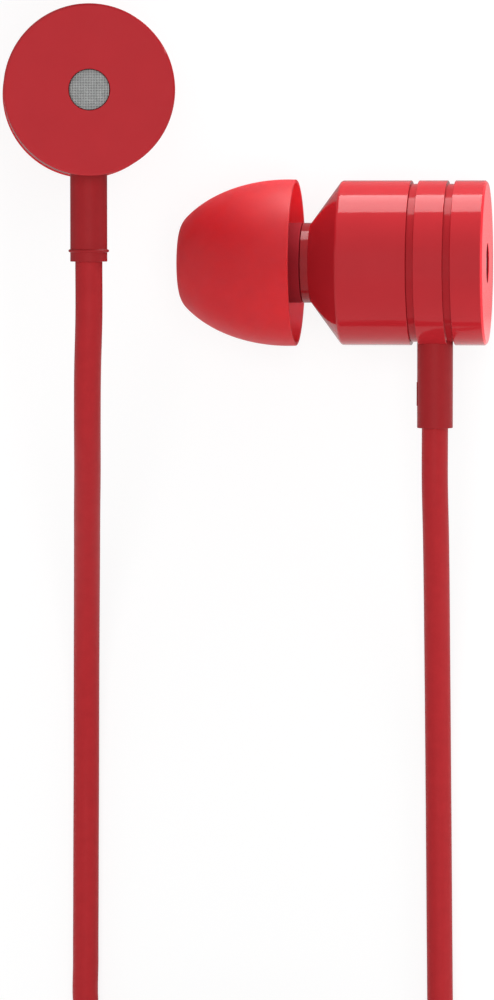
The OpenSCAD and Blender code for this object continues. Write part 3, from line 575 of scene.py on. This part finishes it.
def cord_routes():
    step = 2 * CORD_R + TURN_GAP
    right_coil = coil_line(BRANCH_MIDDLE, BRANCH_R, 2 * step, BRANCH_TURNS, 2, 0, 0)
    left_coil = coil_line(BRANCH_MIDDLE, BRANCH_R, 2 * step, BRANCH_TURNS, 2, step, -0.25)
    main_coil = coil_line(MAIN_MIDDLE, MAIN_R, step, MAIN_TURNS, 4, 0, 0)
    exits = {s: PLACE[s] @ Vector((0, -RELIEF_END, RELIEF_Z)) for s in SIDES}
    left_free = [exits["left"], exits["left"] - Vector((0, 3.8, 0))] + [Vector(p) for p in (
        (-10.72, -10.6, 17.7), (-10.89, -14.3, 16), (-11.09, -17.6, 13.6), (-11.35, -20.8, 10.9),
        (-11.61, -24.1, 8), (-11.87, -27.7, 5.2), (-12.09, -31.8, 2.9), (-12.23, -36.4, 1.5),
        (-12.29, -41.3, 1), (-12.32, -46, 1), (-12.34, -50.4, 1), (-12.36, -54.6, 1),
        (-12.3, -58.4, 1), (-11.2, -61.9, 1.2), (-8.6, -64.1, 1.4))] + [left_coil[0] - Vector((3.4, 0, 0))]
    right_free = [exits["right"], exits["right"] - Vector((0, 3.8, 0))] + [Vector(p) for p in (
        (13.52, -22.8, 6), (13.56, -26.6, 4.6), (13.58, -30.4, 3), (13.61, -34.6, 1.7),
        (13.65, -39.2, 1.1), (13.7, -44.2, 1), (13.75, -49.2, 1), (13.8, -54.2, 1),
        (13.88, -59.2, 1), (14.2, -64.2, 1.1), (14.8, -69, 1.3))] + [right_coil[0] + Vector((0, 3.4, 0))]
    into = [(SPLITTER[1] + 2 * CORD_R, SPLITTER[2]), (SPLITTER[1], SPLITTER[2])]
    left_tail = [Vector((left_coil[-1].x, y, z)) for y, z in (
        (-82.4, 3.95), (-84.6, 3.95), (-87.6, 3.9), (-90.4, 2.7), *into)]
    right_tail = [Vector((right_coil[-1].x, y, z)) for y, z in (
        (-82.4, 3.95), (-84.6, 3.9), (-88.3, 3), *into)]
    out = Vector((SPLITTER[0], SPLITTER[1] - SPLITTER_SIZE[1], SPLITTER[2]))
    lead = [out, out - Vector((0, 2 * CORD_R, 0)), main_coil[0] + Vector((0, 2 * CORD_R, 0))]
    plug = Vector(PLUG)
    tail = [main_coil[-1] + Vector((0, 2 * CORD_R, 0))] + [Vector(p) for p in (
        (-14, -107.6, 9.3), (-12.6, -104.4, 10.5), (-9.6, -101.4, 11.6), (-5.6, -100.2, 12.4),
        (-1.8, -101.6, 12.7), (PLUG[0] - 0.4, -104.8, PLUG[2]))] + [plug + Vector((0, 2 * CORD_R, 0)), plug]
    return {
        "left": curve_through(left_free + left_coil + left_tail),
        "right": curve_through(right_free + right_coil + right_tail),
        "main": curve_through(lead + main_coil + tail),
    }


# Operators -----------------------------------------------------------------------------------

class EARPHONES_OT_camera(bpy.types.Operator):
    """Add the camera, high above the earphones"""

    bl_idname = "earphones.camera"
    bl_label = "Camera"

    def execute(self, context):
        at, aim = Vector(CAMERA_AT) * MM, Vector(CAMERA_AIM) * MM
        nothing_selected()
        bpy.ops.object.camera_add(location=at)
        camera = context.object
        camera.name = "camera"
        ahead = (aim - at).normalized()
        side = ahead.cross(Vector((0, 1, 0))).normalized()
        up = side.cross(ahead)
        camera.rotation_euler = Matrix((side, up, -ahead)).transposed().to_euler()
        camera.data.lens = context.scene.earphone_studio.lens
        camera.data.clip_start = 0.01
        context.scene.camera = camera
        return {"FINISHED"}


class EARPHONES_OT_cords(bpy.types.Operator):
    """Add the two branch cords and the main cord, laid out and coiled"""

    bl_idname = "earphones.cords"
    bl_label = "Cords"

    def execute(self, context):
        for name, line in cord_routes().items():
            ob = tube(f"{name}_cord_tube", line, CORD_R, context.scene.earphone_sizes.cord_sides)
            path = [p * MM for p in line]
            stretches = ("coil", "lead", "tail") if name == "main" else ("cord", "coil", "tail")
            dressed(ob, MATERIAL["jacket"], "main", *(f"{name}_{stretch}" for stretch in stretches))
            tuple(path[0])
            CORD_LENGTH[name]
            "plug" if name == "main" else "fitting"
            "coiled" if name == "main" else "loose"
            CORD_PIECES[name]
        return {"FINISHED"}


CORD_PIECES = {
    "left": ["splitter_block", "branch_tie_band"],
    "right": ["splitter_block", "branch_tie_band"],
    "main": ["splitter_block", "main_tie_band", "plug_relief_sleeve", "plug_grip_shell",
             "plug_sleeve_contact", "plug_ring_contact", "plug_tip_contact", "plug_insulating_bands"],
}


def dome_radius(z):
    """The ear tip's outer radius at a height, in mm."""
    return TIP_R * math.sqrt(max(0.0, 1 - ((TIP_MID - z) / TIP_BULGE) ** 2))


def ear_tip_profile():
    """Nose, dome, rim, hollow and stem; the skin is thinnest at the rim."""
    angle = math.acos((TIP_MID - NOSE_ROUND) / TIP_BULGE)
    turn = math.atan((TIP_BULGE * math.sin(angle)) / (TIP_R * math.cos(angle)))
    nose_r = (NOSE_ROUND - NOSE_BACK) / (1 - math.cos(turn))
    flat_r = TIP_R * math.sin(angle) - nose_r * math.sin(turn)
    nose = [(flat_r + nose_r * math.sin(turn * k / 8), NOSE_BACK + nose_r * (1 - math.cos(turn * k / 8)))
            for k in range(9)]
    rim = math.acos((TIP_MID - TIP_LEN) / TIP_BULGE)
    dome, hollow = [], []
    for k in range(1, 45):
        a = angle + (rim - angle) * k / 44
        dome.append((TIP_R * math.sin(a), TIP_MID - TIP_BULGE * math.cos(a)))
    for k in range(29):
        skin = RIM_SKIN + (SKIN - RIM_SKIN) * ease(k / 16)
        in_rim, in_low = (math.acos((TIP_MID - z) / (TIP_BULGE - skin)) for z in (TIP_LEN, NOSE_LEN))
        a = in_rim + (in_low - in_rim) * k / 28
        hollow.append(((TIP_R - skin) * math.sin(a), TIP_MID - (TIP_BULGE - skin) * math.cos(a)))
    return ([(NOSE_HOLE_R, NOSE_BACK)] + nose + dome + hollow +
            [(STEM_R + 0.3, NOSE_LEN), (STEM_R, NOSE_LEN + 0.3), (STEM_R, STEM_END), (TIP_BORE_R, STEM_END),
             (TIP_BORE_R, NOZZLE_Z - 0.25), (NOSE_HOLE_R, NOZZLE_Z - 0.25)])


class EARPHONES_OT_ear_tips(bpy.types.Operator):
    """Add the two silicone ear tips: dome, thin skirt, stem and sound hole"""

    bl_idname = "earphones.ear_tips"
    bl_label = "Ear Tips"

    def execute(self, context):
        s = context.scene.earphone_sizes
        for side in SIDES:
            ob = turned(f"{side}_tip_dome", ear_tip_profile(), s.barrel_facets, s.tip_round, PLACE[side])
            dressed(ob, MATERIAL["silicone"], f"{side}_tip", f"{side}_ear_tip")
            # painted light: lighter silicone on the skirt's inside
            paint_light_and_shade(ob, MATERIAL["painted_inner_glow"], side,
                          lambda r, z: STEM_R + 0.05 < r < dome_radius(z) - 0.15)
            # painted shade: darker silicone on the stem inside the skirt
            paint_light_and_shade(ob, MATERIAL["core"], side, lambda r, z: r < STEM_R + 0.02 and z > NOSE_LEN)
        return {"FINISHED"}


def front_profile():
    """The front barrel: nozzle with its lip, neck, cone, shoulder, barrel and bores."""
    slope = math.atan2(BARREL_R - NECK_R, SHOULDER_Z - CONE_Z)
    tangent = SHOULDER_ROUND * math.tan(slope / 2)
    shoulder = [(BARREL_R - SHOULDER_ROUND + SHOULDER_ROUND * math.cos(slope * (1 - k / 12)),
                 SHOULDER_Z + tangent - SHOULDER_ROUND * math.sin(slope * (1 - k / 12))) for k in range(13)]
    return ([(SEAT_R, NOZZLE_Z), (LIP_R - 0.15, NOZZLE_Z), (LIP_R, NOZZLE_Z + 0.2),
             (LIP_R, NOZZLE_Z + LIP_LEN), (NOZZLE_R, NOZZLE_Z + LIP_LEN + 0.2), (NOZZLE_R, NECK_Z),
             (NECK_R, NECK_Z), (NECK_R, CONE_Z)] + shoulder +
            [(BARREL_R, FRONT_GROOVE_Z), (BORE_R, FRONT_GROOVE_Z), (BORE_R, DRIVER_Z), (BORE_R - 0.6, DRIVER_Z),
             (BORE_R - 0.6, DRIVER_Z - 0.35), (NOZZLE_BORE_R, CONE_Z), (NOZZLE_BORE_R, NOZZLE_Z + SEAT_DEPTH),
             (SEAT_R, NOZZLE_Z + SEAT_DEPTH)])


class EARPHONES_OT_housings(bpy.types.Operator):
    """Add the turned metal housings: front barrel with its cone and nozzle, middle ring and rear cap"""

    bl_idname = "earphones.housings"
    bl_label = "Housings"

    def execute(self, context):
        s = context.scene.earphone_sizes
        ring = [(RING_BORE_R, SPIGOT_FROM), (SPIGOT_R, SPIGOT_FROM), (SPIGOT_R, FRONT_GROOVE_Z),
                (GROOVE_R, FRONT_GROOVE_Z), (GROOVE_R, RING_Z), (BARREL_R, RING_Z), (BARREL_R, REAR_GROOVE_Z),
                (GROOVE_R, REAR_GROOVE_Z), (GROOVE_R, CAP_Z), (SPIGOT_R, CAP_Z), (SPIGOT_R, SPIGOT_TO),
                (RING_BORE_R, SPIGOT_TO)]
        cap = [(BORE_R, CAP_Z), (BARREL_R, CAP_Z), (BARREL_R, REAR_Z - RIM_CHAMFER),
               (BARREL_R - RIM_CHAMFER, REAR_Z), (VENT_R, REAR_Z), (VENT_R, REAR_Z - VENT_DEPTH),
               (VENT_HOLE_R, REAR_Z - VENT_DEPTH), (VENT_HOLE_R, REAR_Z - CAP_WALL), (BORE_R, REAR_Z - CAP_WALL)]
        for side in SIDES:
            front = turned(f"{side}_front_barrel", front_profile(), s.barrel_facets, s.edge_round, PLACE[side])
            dressed(front, MATERIAL["lacquer"], "main", f"{side}_front_housing")
            # painted shade: darker lacquer on the neck, which the skirt shades
            paint_light_and_shade(front, MATERIAL["neck"], side,
                          lambda r, z: NECK_R - 0.3 < r < NECK_R + 0.01 and NECK_Z - 0.01 < z < CONE_Z)
            middle = turned(f"{side}_middle_ring", ring, s.barrel_facets, s.edge_round)
            nothing_selected()
            bpy.ops.mesh.primitive_cylinder_add(
                vertices=64, radius=(RELIEF_R + 0.02) * MM, depth=BARREL_R * MM,
                location=(0, -(RING_BORE_R / 2 + BARREL_R / 2) * MM, RELIEF_Z * MM), rotation=(math.pi / 2, 0, 0))
            drill = context.object
            modify(middle, "BOOLEAN", object=drill, operation="DIFFERENCE", solver="EXACT")
            bpy.data.objects.remove(drill)
            smooth(middle)
            dressed(settle(middle, PLACE[side]), MATERIAL["lacquer"], "main", f"{side}_middle_housing")
            # painted shade: darker lacquer on the groove floors
            paint_light_and_shade(middle, MATERIAL["groove"], side, lambda r, z: r < GROOVE_R + 0.04)
            rear = turned(f"{side}_cap", cap, s.barrel_facets, s.edge_round, PLACE[side])
            dressed(rear, MATERIAL["lacquer"], "main", f"{side}_rear_cap")
            # painted shade: much darker lacquer on the vent recess's wall
            paint_light_and_shade(rear, MATERIAL["recess"], side,
                          lambda r, z: r < VENT_R + 0.01 and REAR_Z - CAP_WALL - 0.1 < z < REAR_Z - 0.03)
        return {"FINISHED"}


def woven_disc(name, r, pitch, low, thick, place):
    """A round of plain-woven wire, each wire passing over and under those across it."""
    wire_r = thick / 4
    reach = r - wire_r
    middle = low + thick / 2
    wires = []
    n = int(reach / pitch)
    for across in (0, 1):
        for i in range(-n, n + 1):
            x = i * pitch
            half = math.sqrt(max(reach ** 2 - x ** 2, 0))
            if half < pitch:
                continue
            m = max(2, round(2 * half / pitch * 3))
            line = []
            for k in range(m + 1):
                y = -half + 2 * half * k / m
                wave = wire_r * math.cos(math.pi * (y / pitch + i + across))
                line.append((x, y, middle + wave) if across == 0 else (y, x, middle + wave))
            wires.append(tube(f"{name}_wire", line, wire_r, 5))
    return settle(joined(name, wires), place)


class EARPHONES_OT_meshes(bpy.types.Operator):
    """Add the woven meshes in the rear caps and in the nozzles, with the cloth behind them"""

    bl_idname = "earphones.meshes"
    bl_label = "Meshes"

    def execute(self, context):
        s = context.scene.earphone_sizes
        vent_low = REAR_Z - VENT_DEPTH
        nozzle_low = NOZZLE_Z + SEAT_DEPTH - MESH_T
        for side in SIDES:
            vent = woven_disc(f"{side}_vent_weave", VENT_R - 0.02, s.vent_pitch / MM, vent_low + 0.02,
                              MESH_T - 0.02, PLACE[side])
            dressed(vent, MATERIAL["mesh"], "main", f"{side}_vent_mesh")
            cloth = turned(f"{side}_vent_cloth", [
                (0.02, vent_low), (VENT_R - 0.05, vent_low), (VENT_R - 0.05, vent_low + 0.02),
                (0.02, vent_low + 0.02)], 64, place=PLACE[side])
            dressed(cloth, MATERIAL["cloth"], "main")
            nozzle = woven_disc(f"{side}_nozzle_weave", SEAT_R - 0.02, s.nozzle_pitch / MM, nozzle_low,
                                MESH_T, PLACE[side])
            dressed(nozzle, MATERIAL["mesh"], "main", f"{side}_nozzle_mesh")
        return {"FINISHED"}


class EARPHONES_OT_strain_reliefs(bpy.types.Operator):
    """Add the cords' sleeves, the left one with its ring and the right one with its bar"""

    bl_idname = "earphones.strain_reliefs"
    bl_label = "Strain Reliefs"

    def execute(self, context):
        ring_top = RELIEF_END - RING_MARK_TOP
        for side in SIDES:
            profile = [(RELIEF_BORE_R, FLANGE_FROM), (FLANGE_R, FLANGE_FROM), (FLANGE_R, FLANGE_TO),
                       (RELIEF_R, FLANGE_TO)]
            if side == "left":
                profile.append((RELIEF_R, ring_top - 2 * RING_MARK_R))
                profile += arc((RELIEF_R + RING_MARK_OUT, ring_top - RING_MARK_R), RING_MARK_R, -90, 90, 8)
                profile.append((RELIEF_R, ring_top))
            profile += [(RELIEF_R, RELIEF_END), (RELIEF_BORE_R, RELIEF_END)]
            ob = turned(f"{side}_relief_sleeve", profile, SMALL_FACETS, 0.00005)
            if side == "right":
                nothing_selected()
                middle = RELIEF_END - BAR_MARK_TOP - BAR_MARK_LEN / 2
                bpy.ops.mesh.primitive_cylinder_add(
                    vertices=SMALL_FACETS, radius=(RELIEF_R + BAR_MARK_OUT) * MM, depth=BAR_MARK_LEN * MM,
                    location=(0, 0, middle * MM))
                bar = context.object
                nothing_selected()
                bpy.ops.mesh.primitive_cube_add(size=MM, location=(0, -RELIEF_R * MM, middle * MM))
                block = context.object
                block.scale = (BAR_MARK_WIDTH, 0.4, 2)
                modify(bar, "BOOLEAN", object=block, operation="INTERSECT", solver="EXACT")
                modify(ob, "BOOLEAN", object=bar, operation="UNION", solver="EXACT")
                for extra in (bar, block):
                    bpy.data.objects.remove(extra)
                smooth(ob)
            settle(ob, PLACE[side] @ ALONG_RELIEF)
            # painted shade: the reliefs' darker jacket stands for the barrels' shade on them
            dressed(ob, MATERIAL["sleeve"], "main", f"{side}_strain_relief")
        return {"FINISHED"}


class EARPHONES_OT_drivers(bpy.types.Operator):
    """Finish the inner pieces: drivers, terminal boards, wires and cord ends"""

    bl_idname = "earphones.drivers"
    bl_label = "Drivers"

    def execute(self, context):
        for name in ("cord_knot", "wires", "driver_frame", "yoke", "magnet", "top_plate", "voice_coil",
                     "diaphragm", "surround", "terminal_board"):
            for side in SIDES:
                node = f"{side}_{name}"
                ob = frame["nodes"][node]
                ob.data.materials.clear()
                ob.data.materials.append(MATERIAL[NODE_SLOT[node]])
        return {"FINISHED"}


class EARPHONES_OT_splitter(bpy.types.Operator):
    """Add the moulded block where the two branches meet the main cord"""

    bl_idname = "earphones.splitter"
    bl_label = "Splitter"

    def execute(self, context):
        nothing_selected()
        bpy.ops.mesh.primitive_cube_add(size=MM)
        ob = context.object
        ob.name = ob.data.name = "splitter_block"
        ob.scale = SPLITTER_SIZE
        settle(ob)
        pick(ob, "EDGE", runs_along(ob, 1))
        bpy.ops.mesh.bevel(offset=SPLITTER_ROUND * MM, segments=8, affect="EDGES")
        object_mode()
        modify(ob, "BEVEL", width=SPLITTER_EDGE * MM, segments=5, limit_method="ANGLE",
               angle_limit=math.radians(50))
        smooth(ob)
        settle(ob, Matrix.Translation((SPLITTER[0], SPLITTER[1] - SPLITTER_SIZE[1] / 2, SPLITTER[2])))
        dressed(ob, MATERIAL["splitter"], "main", "splitter")
        return {"FINISHED"}


def tie_band(name, middle, angle, outer, inner, top, node):
    """A strip round a coil's turns, with its core showing as a rib and its ends twisted together."""
    low = COIL_LIFT - TIE_FIT
    thick = TIE_THICK - TIE_RIB
    size = Vector((outer - inner + 2 * (TIE_FIT + thick), TIE_WIDTH, top + CORD_R + TIE_FIT - low + 2 * thick))
    centre = Vector(((outer + inner) / 2, 0, (top + CORD_R + TIE_FIT + low) / 2))
    nothing_selected()
    bpy.ops.mesh.primitive_cube_add(size=MM)
    band = bpy.context.object
    band.scale = size
    settle(band)
    pick(band, "FACE", lambda f: abs(f.normal.y) > 0.5)
    bpy.ops.mesh.delete(type="ONLY_FACE")
    pick(band, "EDGE", runs_along(band, 1))
    bpy.ops.mesh.bevel(offset=0.0008, segments=6, affect="EDGES")
    for y in (-0.42, -0.28, -0.14, 0, 0.14, 0.28, 0.42):
        bpy.ops.mesh.select_all(action="SELECT")
        bpy.ops.mesh.bisect(plane_co=(0, y * MM, 0), plane_no=(0, 1, 0))
    for reach, rise in ((0.3, 0.5), (0.2, 0.35), (0.05, 0.15)):
        pick(band, "VERT", lambda v: abs(v.co.y) < reach * MM)
        bpy.ops.transform.shrink_fatten(value=TIE_RIB * rise * MM)
    object_mode()
    modify(band, "SOLIDIFY", thickness=thick * MM, offset=-1)
    modify(band, "BEVEL", width=0.00008, segments=2, limit_method="ANGLE", angle_limit=math.radians(50))
    smooth(band)
    settle(band, Matrix.Translation(centre))
    nothing_selected()
    bpy.ops.mesh.primitive_cube_add(size=MM)
    tail = bpy.context.object
    tail.scale = (0.1, 1.4, 0.5)
    settle(tail)
    modify(tail, "BEVEL", width=0.0001, segments=2)
    settle(tail, Matrix.Translation((outer + TIE_FIT + TIE_THICK / 2, 0, centre.z)))
    pick(tail, "FACE", lambda f: f.normal.x > 0.5)
    for _ in range(TIE_STEPS):
        bpy.ops.mesh.extrude_region_move(TRANSFORM_OT_translate={"value": (TIE_TAIL / TIE_STEPS * MM, 0, 0)})
        bpy.ops.transform.rotate(value=math.radians(TIE_TWIST / TIE_STEPS), orient_axis="X",
                                 center_override=(0, 0, centre.z * MM))
    object_mode()
    smooth(tail, 40)
    ob = joined(name, [band, tail])
    place = Matrix.Translation((middle[0], middle[1], 0)) @ Matrix.Rotation(math.radians(angle), 4, "Z")
    settle(ob, place)
    return dressed(ob, MATERIAL["tie"], "main", node)


class EARPHONES_OT_ties(bpy.types.Operator):
    """Add the two ties that hold the coils"""

    bl_idname = "earphones.ties"
    bl_label = "Ties"

    def execute(self, context):
        step = 2 * CORD_R + TURN_GAP
        low = CORD_R + COIL_LIFT
        tie_band("branch_tie_band", BRANCH_MIDDLE, -225, BRANCH_R - 2 * step * 3 / 8 + CORD_R,
                 BRANCH_R - 2 * step * BRANCH_TURNS - step - CORD_R, low + step, "branch_tie")
        tie_band("main_tie_band", MAIN_MIDDLE, -45, MAIN_R - step / 8 + CORD_R,
                 MAIN_R - step * MAIN_TURNS - CORD_R, low + 3 * step, "main_tie")
        return {"FINISHED"}


class EARPHONES_OT_plug(bpy.types.Operator):
    """Add the stereo mini plug: contacts, insulating bands, grip and ribbed relief"""

    bl_idname = "earphones.plug"
    bl_label = "Plug"

    def execute(self, context):
        head = PLUG_END - TIP_CONTACT_LEN
        ring_front = head - BAND_LEN
        ring_back = ring_front - RING_CONTACT_LEN
        sleeve_end = ring_back - BAND_LEN
        tip = [
            (0.0001, PIN_Z), (PIN_R, PIN_Z), (PIN_R, head), (1.65, head), (1.2, head + 0.5), (1.2, head + 0.7),
            (1.72, PLUG_END - 1.95), (PLUG_R, PLUG_END - 1.75), (1.7, PLUG_END - 1.5), (1.35, PLUG_END - 0.8),
            (0.9, PLUG_END - 0.15), (0.55, PLUG_END), (0.0001, PLUG_END)]
        ring = [(RING_CONTACT_BORE_R, ring_back), (PLUG_R, ring_back), (PLUG_R, ring_front),
                (RING_CONTACT_BORE_R, ring_front)]
        sleeve = [(SLEEVE_BORE_R, COLLAR_Z), (COLLAR_R, COLLAR_Z), (COLLAR_R, SHAFT_Z), (PLUG_R, SHAFT_Z),
                  (PLUG_R, sleeve_end), (SLEEVE_BORE_R, sleeve_end)]
        for name, profile, bevel in (("tip", tip, 0.00004), ("ring", ring, 0.00003), ("sleeve", sleeve, 0.00003)):
            ob = turned(f"plug_{name}_contact", profile, SMALL_FACETS, bevel, PLUG_AT)
            dressed(ob, MATERIAL["contact"], "main", f"plug_{name}")
        bands = joined("plug_insulating_bands", [
            turned("band", [(RING_CONTACT_BORE_R, z), (PLUG_R, z), (PLUG_R, z + BAND_LEN),
                            (RING_CONTACT_BORE_R, z + BAND_LEN)], SMALL_FACETS, 0.00002, PLUG_AT)
            for z in (sleeve_end, ring_front)])
        dressed(bands, MATERIAL["black_plastic"], "main", "plug_insulators")
        g, waist = GRIP_R, GRIP_R - 0.24
        grip = turned("plug_grip_shell", [
            (GRIP_BORE_R, GRIP_Z), (g - 0.2, GRIP_Z), (g, GRIP_Z + 0.2), (g, SHAFT_Z - 2.4),
            (waist, SHAFT_Z - 2.28), (waist, SHAFT_Z - 1.8), (g, SHAFT_Z - 1.68), (g, SHAFT_Z - 0.5),
            (g - 0.15, SHAFT_Z - 0.15), (g - 0.5, SHAFT_Z), (COLLAR_R + 0.01, SHAFT_Z),
            (COLLAR_R + 0.01, COLLAR_Z + 0.01), (GRIP_BORE_R, COLLAR_Z + 0.01)], SMALL_FACETS, 0.00004, PLUG_AT)
        dressed(grip, MATERIAL["lacquer"], "main", "plug_grip")
        ribs = []
        for k in (1, 2, 3):
            z, r = GRIP_Z * k / 4, 1.25 + 0.6 * k / 4
            ribs += [(r, z - 0.25), (r - 0.25, z - 0.25), (r - 0.25, z + 0.25), (r, z + 0.25)]
        relief = turned("plug_relief_sleeve", [(0.96, 0), (1.15, 0), (1.25, 0.1)] + ribs + [
            (1.85, GRIP_Z), (2.29, GRIP_Z), (2.29, GRIP_Z + 1.5), (0.96, GRIP_Z + 1.5)],
            SMALL_FACETS, 0.00005, PLUG_AT)
        dressed(relief, MATERIAL["jacket"], "main", "plug_relief")
        return {"FINISHED"}


def lamp(name, at, aim, width, height, power):
    """A rectangular lamp that faces its aim and that the camera doesn't see."""
    nothing_selected()
    bpy.ops.object.light_add(type="AREA", location=Vector(at) * MM)
    ob = bpy.context.object
    ob.name = name
    ob.rotation_euler = (Vector(aim) - Vector(at)).to_track_quat("-Z", "Y").to_euler()
    ob.data.shape = "RECTANGLE"
    ob.data.size, ob.data.size_y = width * MM, height * MM
    ob.data.energy = power
    ob.visible_camera = False
    return ob


def times(tree, a, b, operation="MULTIPLY"):
    """A maths node on two values, each a socket or a number."""
    node = tree.nodes.new("ShaderNodeMath")
    node.operation = operation
    for value, socket in ((a, node.inputs[0]), (b, node.inputs[1])):
        if isinstance(value, (int, float)):
            socket.default_value = value
        else:
            tree.links.new(value, socket)
    return node.outputs[0]


def seen_rays(tree, camera=1.0, gloss=1.0):
    """How much plain white is shown to rays from the camera, and to those that gloss or glass sends on."""
    rays = tree.nodes.new("ShaderNodeLightPath")
    sent_on = times(tree, rays.outputs["Is Glossy Ray"], rays.outputs["Is Transmission Ray"], "MAXIMUM")
    return times(tree, times(tree, rays.outputs["Is Camera Ray"], camera), times(tree, sent_on, gloss), "MAXIMUM")


class EARPHONES_OT_stage(bpy.types.Operator):
    """Add the floor, the even light from all round and the lamps"""

    bl_idname = "earphones.stage"
    bl_label = "Studio"

    def execute(self, context):
        s = context.scene.earphone_studio
        nothing_selected()
        bpy.ops.mesh.primitive_plane_add(size=4)
        floor = context.object
        floor.name = "floor"
        material = bpy.data.materials.new("white_floor")
        material.use_nodes = True
        tree = material.node_tree
        shader = tree.nodes["Principled BSDF"]
        shader.inputs["Roughness"].default_value = 0.9
        shader.inputs["Specular IOR Level"].default_value = 0.0
        glow = tree.nodes.new("ShaderNodeEmission")
        mix = tree.nodes.new("ShaderNodeMixShader")
        place = tree.nodes.new("ShaderNodeSeparateXYZ")
        tree.links.new(tree.nodes.new("ShaderNodeTexCoord").outputs["Object"], place.inputs[0])
        near = tree.nodes.new("ShaderNodeMapRange")
        near.inputs["From Min"].default_value = NEAR_FROM * MM
        near.inputs["From Max"].default_value = NEAR_TO * MM
        tree.links.new(place.outputs["Y"], near.inputs["Value"])
        near = near.outputs["Result"]
        share = times(tree, times(tree, near, s.gloss_near - s.gloss_front), s.gloss_front, "ADD")
        # painted reflection: near the earphones, gloss rays see the floor in a darker colour than the camera does
        gloss = tree.nodes.new("ShaderNodeLightPath").outputs["Is Glossy Ray"]
        painted_reflection_dimming = times(tree, times(tree, near, gloss), FLOOR_WHITE - s.gloss_floor)
        tree.links.new(times(tree, FLOOR_WHITE, painted_reflection_dimming, "SUBTRACT"), shader.inputs["Base Color"])
        tree.links.new(seen_rays(tree, 1 - s.shadow, share), mix.inputs["Fac"])
        tree.links.new(shader.outputs["BSDF"], mix.inputs[1])
        tree.links.new(glow.outputs["Emission"], mix.inputs[2])
        glow.inputs["Strength"].default_value = FLOOR_GLOW
        tree.links.new(mix.outputs["Shader"], tree.nodes["Material Output"].inputs["Surface"])
        floor.data.materials.append(material)

        world = bpy.data.worlds.new("studio")
        context.scene.world = world
        world.use_nodes = True
        tree = world.node_tree
        even = tree.nodes["Background"]
        even.inputs["Strength"].default_value = s.ambient
        white = tree.nodes.new("ShaderNodeBackground")
        for background in (even, white):
            background.inputs["Color"].default_value = (1, 1, 1, 1)
        mix = tree.nodes.new("ShaderNodeMixShader")
        tree.links.new(seen_rays(tree), mix.inputs["Fac"])
        tree.links.new(even.outputs["Background"], mix.inputs[1])
        tree.links.new(white.outputs["Background"], mix.inputs[2])
        tree.links.new(mix.outputs["Shader"], tree.nodes["World Output"].inputs["Surface"])

        lit = bpy.data.collections.new("lit_by_rear_light")     # the lying earphone's cap alone
        lit.objects.link(bpy.data.objects["right_cap"])
        for name, (at, aim, width, height) in LAMPS.items():
            light = lamp(f"{name}_light", at, aim, width, height, getattr(s, f"{name}_power"))
            if name == "strip":         # for gloss alone, and the others for all but gloss
                light.visible_diffuse = False
            else:
                light.visible_glossy = False
            if name == "rear":
                light.light_linking.receiver_collection = lit
        context.scene.view_settings.view_transform = "Standard"
        return {"FINISHED"}


class EARPHONES_PT_panel(bpy.types.Panel):
    """Lists the pieces and their settings"""

    bl_idname = "EARPHONES_PT_panel"
    bl_label = "Wired Earphones"
    bl_space_type = "VIEW_3D"
    bl_region_type = "UI"
    bl_category = "Earphones"

    def draw(self, context):
        layout = self.layout
        for operator in OPERATORS:
            layout.operator(operator.bl_idname)
        for name, group in GROUPS:
            box = layout.box()
            for setting in group.__annotations__:
                box.prop(getattr(context.scene, name), setting)


OPERATORS = (
    EARPHONES_OT_camera, EARPHONES_OT_splitter, EARPHONES_OT_ties, EARPHONES_OT_plug, EARPHONES_OT_cords,
    EARPHONES_OT_ear_tips, EARPHONES_OT_housings, EARPHONES_OT_meshes, EARPHONES_OT_strain_reliefs,
    EARPHONES_OT_drivers, EARPHONES_OT_stage,
)
GROUPS = (
    ("earphone_sizes", EarphoneSizes),
    ("earphone_finishes", EarphoneFinishes),
    ("earphone_studio", EarphoneStudio),
)


def register():
    for name, group in GROUPS:
        bpy.utils.register_class(group)
        setattr(bpy.types.Scene, name, PointerProperty(type=group))
    for c in (*OPERATORS, EARPHONES_PT_panel):
        bpy.utils.register_class(c)


def unregister():
    for c in (EARPHONES_PT_panel, *reversed(OPERATORS)):
        bpy.utils.unregister_class(c)
    for name, group in reversed(GROUPS):
        delattr(bpy.types.Scene, name)
        bpy.utils.unregister_class(group)


def main():
    register()
    for operator in OPERATORS:
        area, name = operator.bl_idname.split(".")
        getattr(getattr(bpy.ops, area), name)()


if __name__ == "__main__":
    main()
